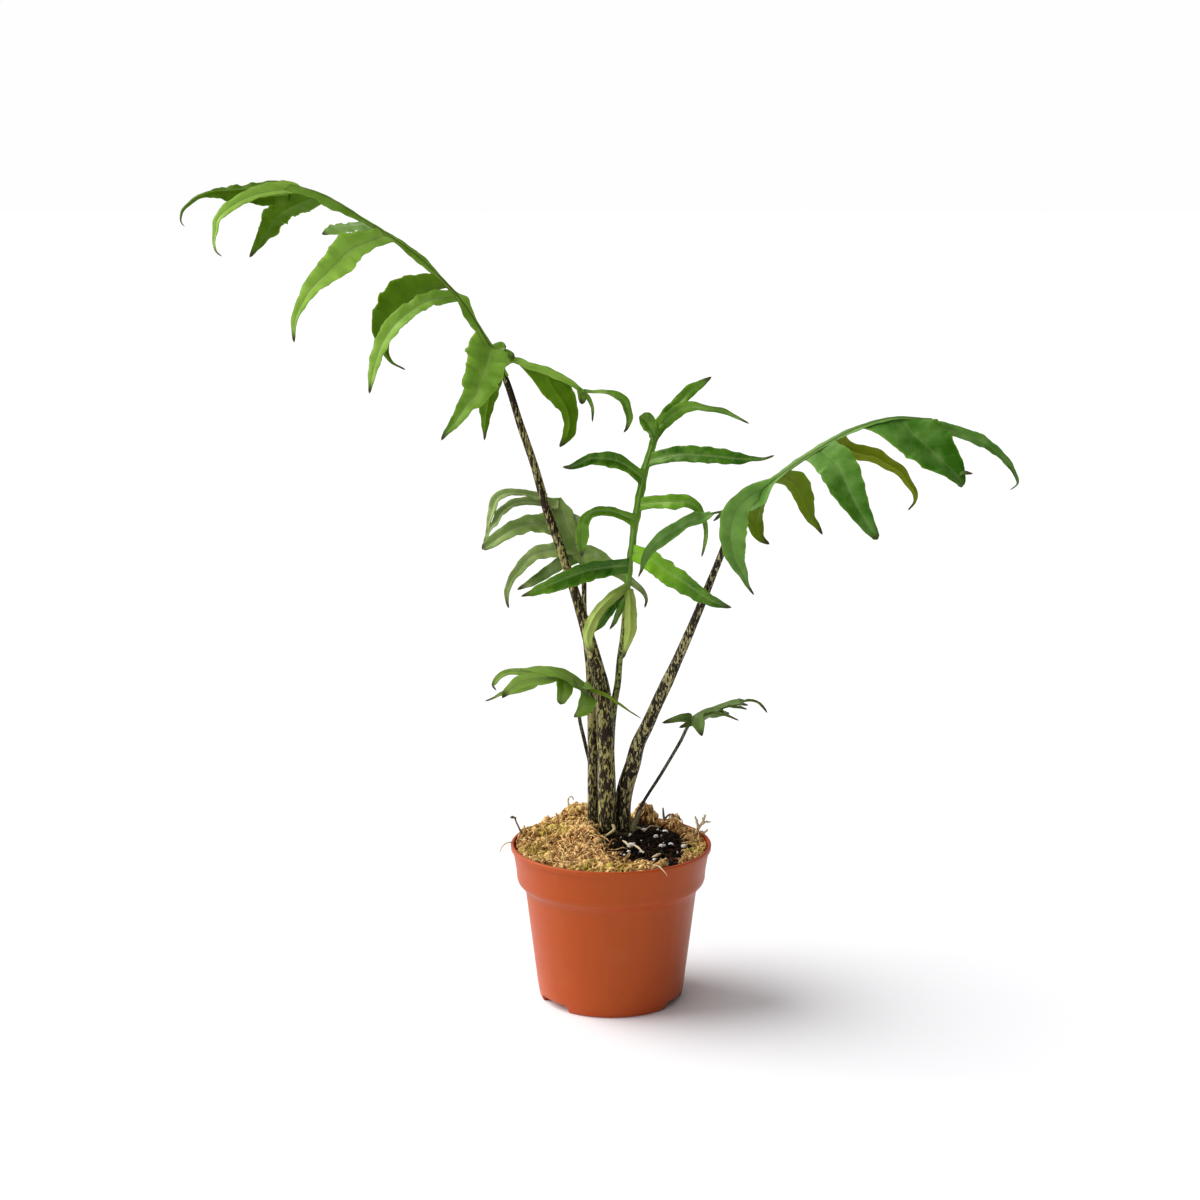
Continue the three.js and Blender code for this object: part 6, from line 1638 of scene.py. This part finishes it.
def leaf_skin(name, light, deep, under_light, under, vein, rib, gloss, shine, painted_sheen_strength):
    """A leaf's skin, light and deep green in broad patches above, and its two greens
    below. gloss is its roughness, shine how much it mirrors, and the last number how
    strong the painted sheen is: a painted highlight that pales cloudy patches by the
    midribs."""
    material, tree, shader = new_material(name)
    mark = {m: add(tree, "Attribute", attribute_name=m).outputs["Fac"]
            for m in ("edge_mm", "rib_mm", "hard", "upper", "vein", "stem", "tone")}
    place = add(tree, "TexCoord").outputs["Object"]
    patches = add(tree, "TexNoise", {"Vector": place, "Scale": 1 / GREEN_PATCH, "Detail": 4.0})
    pores = add(tree, "TexNoise", {"Vector": place, "Scale": 1 / PORE, "Detail": 3.0})
    # The lobe's tone: partly its own green, partly painted light and shade.
    toned = add(tree, "Math", {0: patches, 1: 1.1, 2: mark["tone"]}, operation="MULTIPLY_ADD")
    broad = add(tree, "MapRange", {"Value": toned, "From Min": 0.55, "From Max": 1.5})

    # Bands that fade: what they are measured in, from where to where, and how strong
    phase = add(tree, "Math", {0: mark["vein"], 1: 1.0}, operation="PINGPONG")
    bands = {"side_vein": (phase, 0.0, 0.09, 0.12), "midrib": (mark["rib_mm"], 0.25, 1.0, 0.2),
             "dark_line": (mark["rib_mm"], 0.05, 0.2, 0.5), "painted_sheen": (mark["rib_mm"], 0.6, 4.5, painted_sheen_strength),
             "margin": (mark["edge_mm"], 0.12, 0.42, 0.85)}
    band = {part: add(tree, "MapRange", {"Value": value, "From Min": near, "From Max": far,
                                         "To Min": most, "To Max": 0.0},
                      interpolation_type="SMOOTHSTEP")
            for part, (value, near, far, most) in bands.items()}
    # The painted sheen: cloudy pale patches by the midribs, a highlight painted into the green
    cloud = add(tree, "MapRange", {"Value": patches, "From Min": 0.4, "From Max": 0.52,
                                   "To Min": 1.0, "To Max": 0.0})
    painted_sheen_share = add(tree, "Math", {0: band["painted_sheen"], 1: cloud}, operation="MULTIPLY")
    hard = add(tree, "Math", {0: band["margin"], 1: mark["hard"]}, operation="MAXIMUM")

    # Two greens on each face, the veins and the painted sheen over the upper one, and what hardens over
    # both
    face, lower = (add(tree, "Mix", {"Factor": broad, "A": linear(pale), "B": linear(dark)},
                       data_type="RGBA") for pale, dark in ((light, deep), (under_light, under)))
    for share, colour in ((band["side_vein"], vein), (band["midrib"], vein),
                          (band["dark_line"], HARDENED), (painted_sheen_share, vein)):
        face = add(tree, "Mix", {"Factor": share, "A": face, "B": linear(colour)}, data_type="RGBA")
    skin = add(tree, "Mix", {"Factor": mark["upper"], "A": lower, "B": face}, data_type="RGBA")
    for share, colour in ((hard, HARDENED), (mark["stem"], rib)):
        skin = add(tree, "Mix", {"Factor": share, "A": skin, "B": linear(colour)}, data_type="RGBA")

    sheen = add(tree, "MapRange", {"Value": patches, "From Min": 0.3, "From Max": 0.7,
                                   "To Min": gloss - 0.06, "To Max": gloss + 0.06})
    dull = add(tree, "MapRange", {"Value": mark["upper"], "To Min": UNDER_DULL, "To Max": 0.0})
    rough = add(tree, "Math", {0: sheen, 1: dull}, operation="ADD")
    relief = add(tree, "Bump", {"Height": pores, "Strength": 0.18, "Distance": 0.15 * MM})
    feed(tree, shader, {
        "Base Color": skin, "Roughness": rough, "Normal": relief, "Specular IOR Level": shine,
        "Specular Tint": linear("#dcee9a"), "Subsurface Weight": 0.3,
        "Subsurface Radius": (0.7, 1.0, 0.2), "Subsurface Scale": 1.0 * MM})
    return material


# The last number is the strength of the painted sheen, a highlight painted into the green.
LEAF_SKINS = {  # light, deep, lighter and deeper underside, vein, rib, gloss, shine, bloom
    "left": ("#98c04c", "#467404", "#6a8c10", "#456802", "#a0b86c", "#4c5a1c", 0.42, 0.25, 0.18),
    "right": ("#7eaa50", "#30600c", "#707e10", "#566e04", "#8cac66", "#557034", 0.40, 0.24, 0.18),
    "middle": ("#74a81c", "#1c5202", "#a6b45e", "#5c7c20", "#a8c874", "#5c8030", 0.25, 0.45, 0.1),
    "back": ("#9cb068", "#40601c", "#687c34", "#4a601a", "#a8b484", "#64764a", 0.45, 0.20, 0.25),
    "low_left": ("#90b050", "#5c8210", "#6c8420", "#4c6810", "#a4b478", "#4f6426", 0.42, 0.25, 0.18),
    "low_right": ("#748a54", "#4c6820", "#5c6c2c", "#445618", "#80905c", "#4a5530", 0.5, 0.20, 0.2),
}

# %% The six blades
RIB_STATIONS, BACK_RIB_STATIONS = 260, 60
RIB_FIRST = {"main": 1.5, "back": 0.0}  # how far along its rib the first lobe may start
RIB_COVER = 0.6  # how far over the rib a blade is laid, in rib radii
RUFFLES = {  # how much the margins ripple
    "left": 0.17, "right": 0.10, "middle": 0.16, "back": 0.16, "low_left": 0.08, "low_right": 0.12,
}

for number, leaf in enumerate(LEAVES):
    name = leaf["name"]
    cover = leaf.get("cover", RIB_COVER)
    up = np.array(leaf["up"]) / np.linalg.norm(leaf["up"])
    ribs = {"main": smooth_path(leaf["stalk"], RIB_STATIONS, start=leaf["joint"])}
    if "back" in leaf:
        ribs["back"] = smooth_path(leaf["back"], BACK_RIB_STATIONS)
    pieces = [rib_bar(path) for path in ribs.values()]
    for index, rows in enumerate(leaf["lobes"].values()):
        rib = rows.get("on", "main")
        shape = {key: value for key, value in rows.items() if key != "on"}
        pieces.append(lobe(ribs[rib], up=up, first=RIB_FIRST[rib], ruffle=RUFFLES[name], cover=cover,
                           seed=100 * number + index, **shape))
    pieces.append(strip(ribs["main"], leaf["wing"], up, cover))
    if "back_wing" in leaf:
        pieces.append(strip(ribs["back"], leaf["back_wing"], FRONT, cover))
    skin = leaf_skin(f"leaf_skin_{name}", *LEAF_SKINS[name])
    build(f"leaf_{name}", joined(pieces), skin, [f"blade_{name}"])
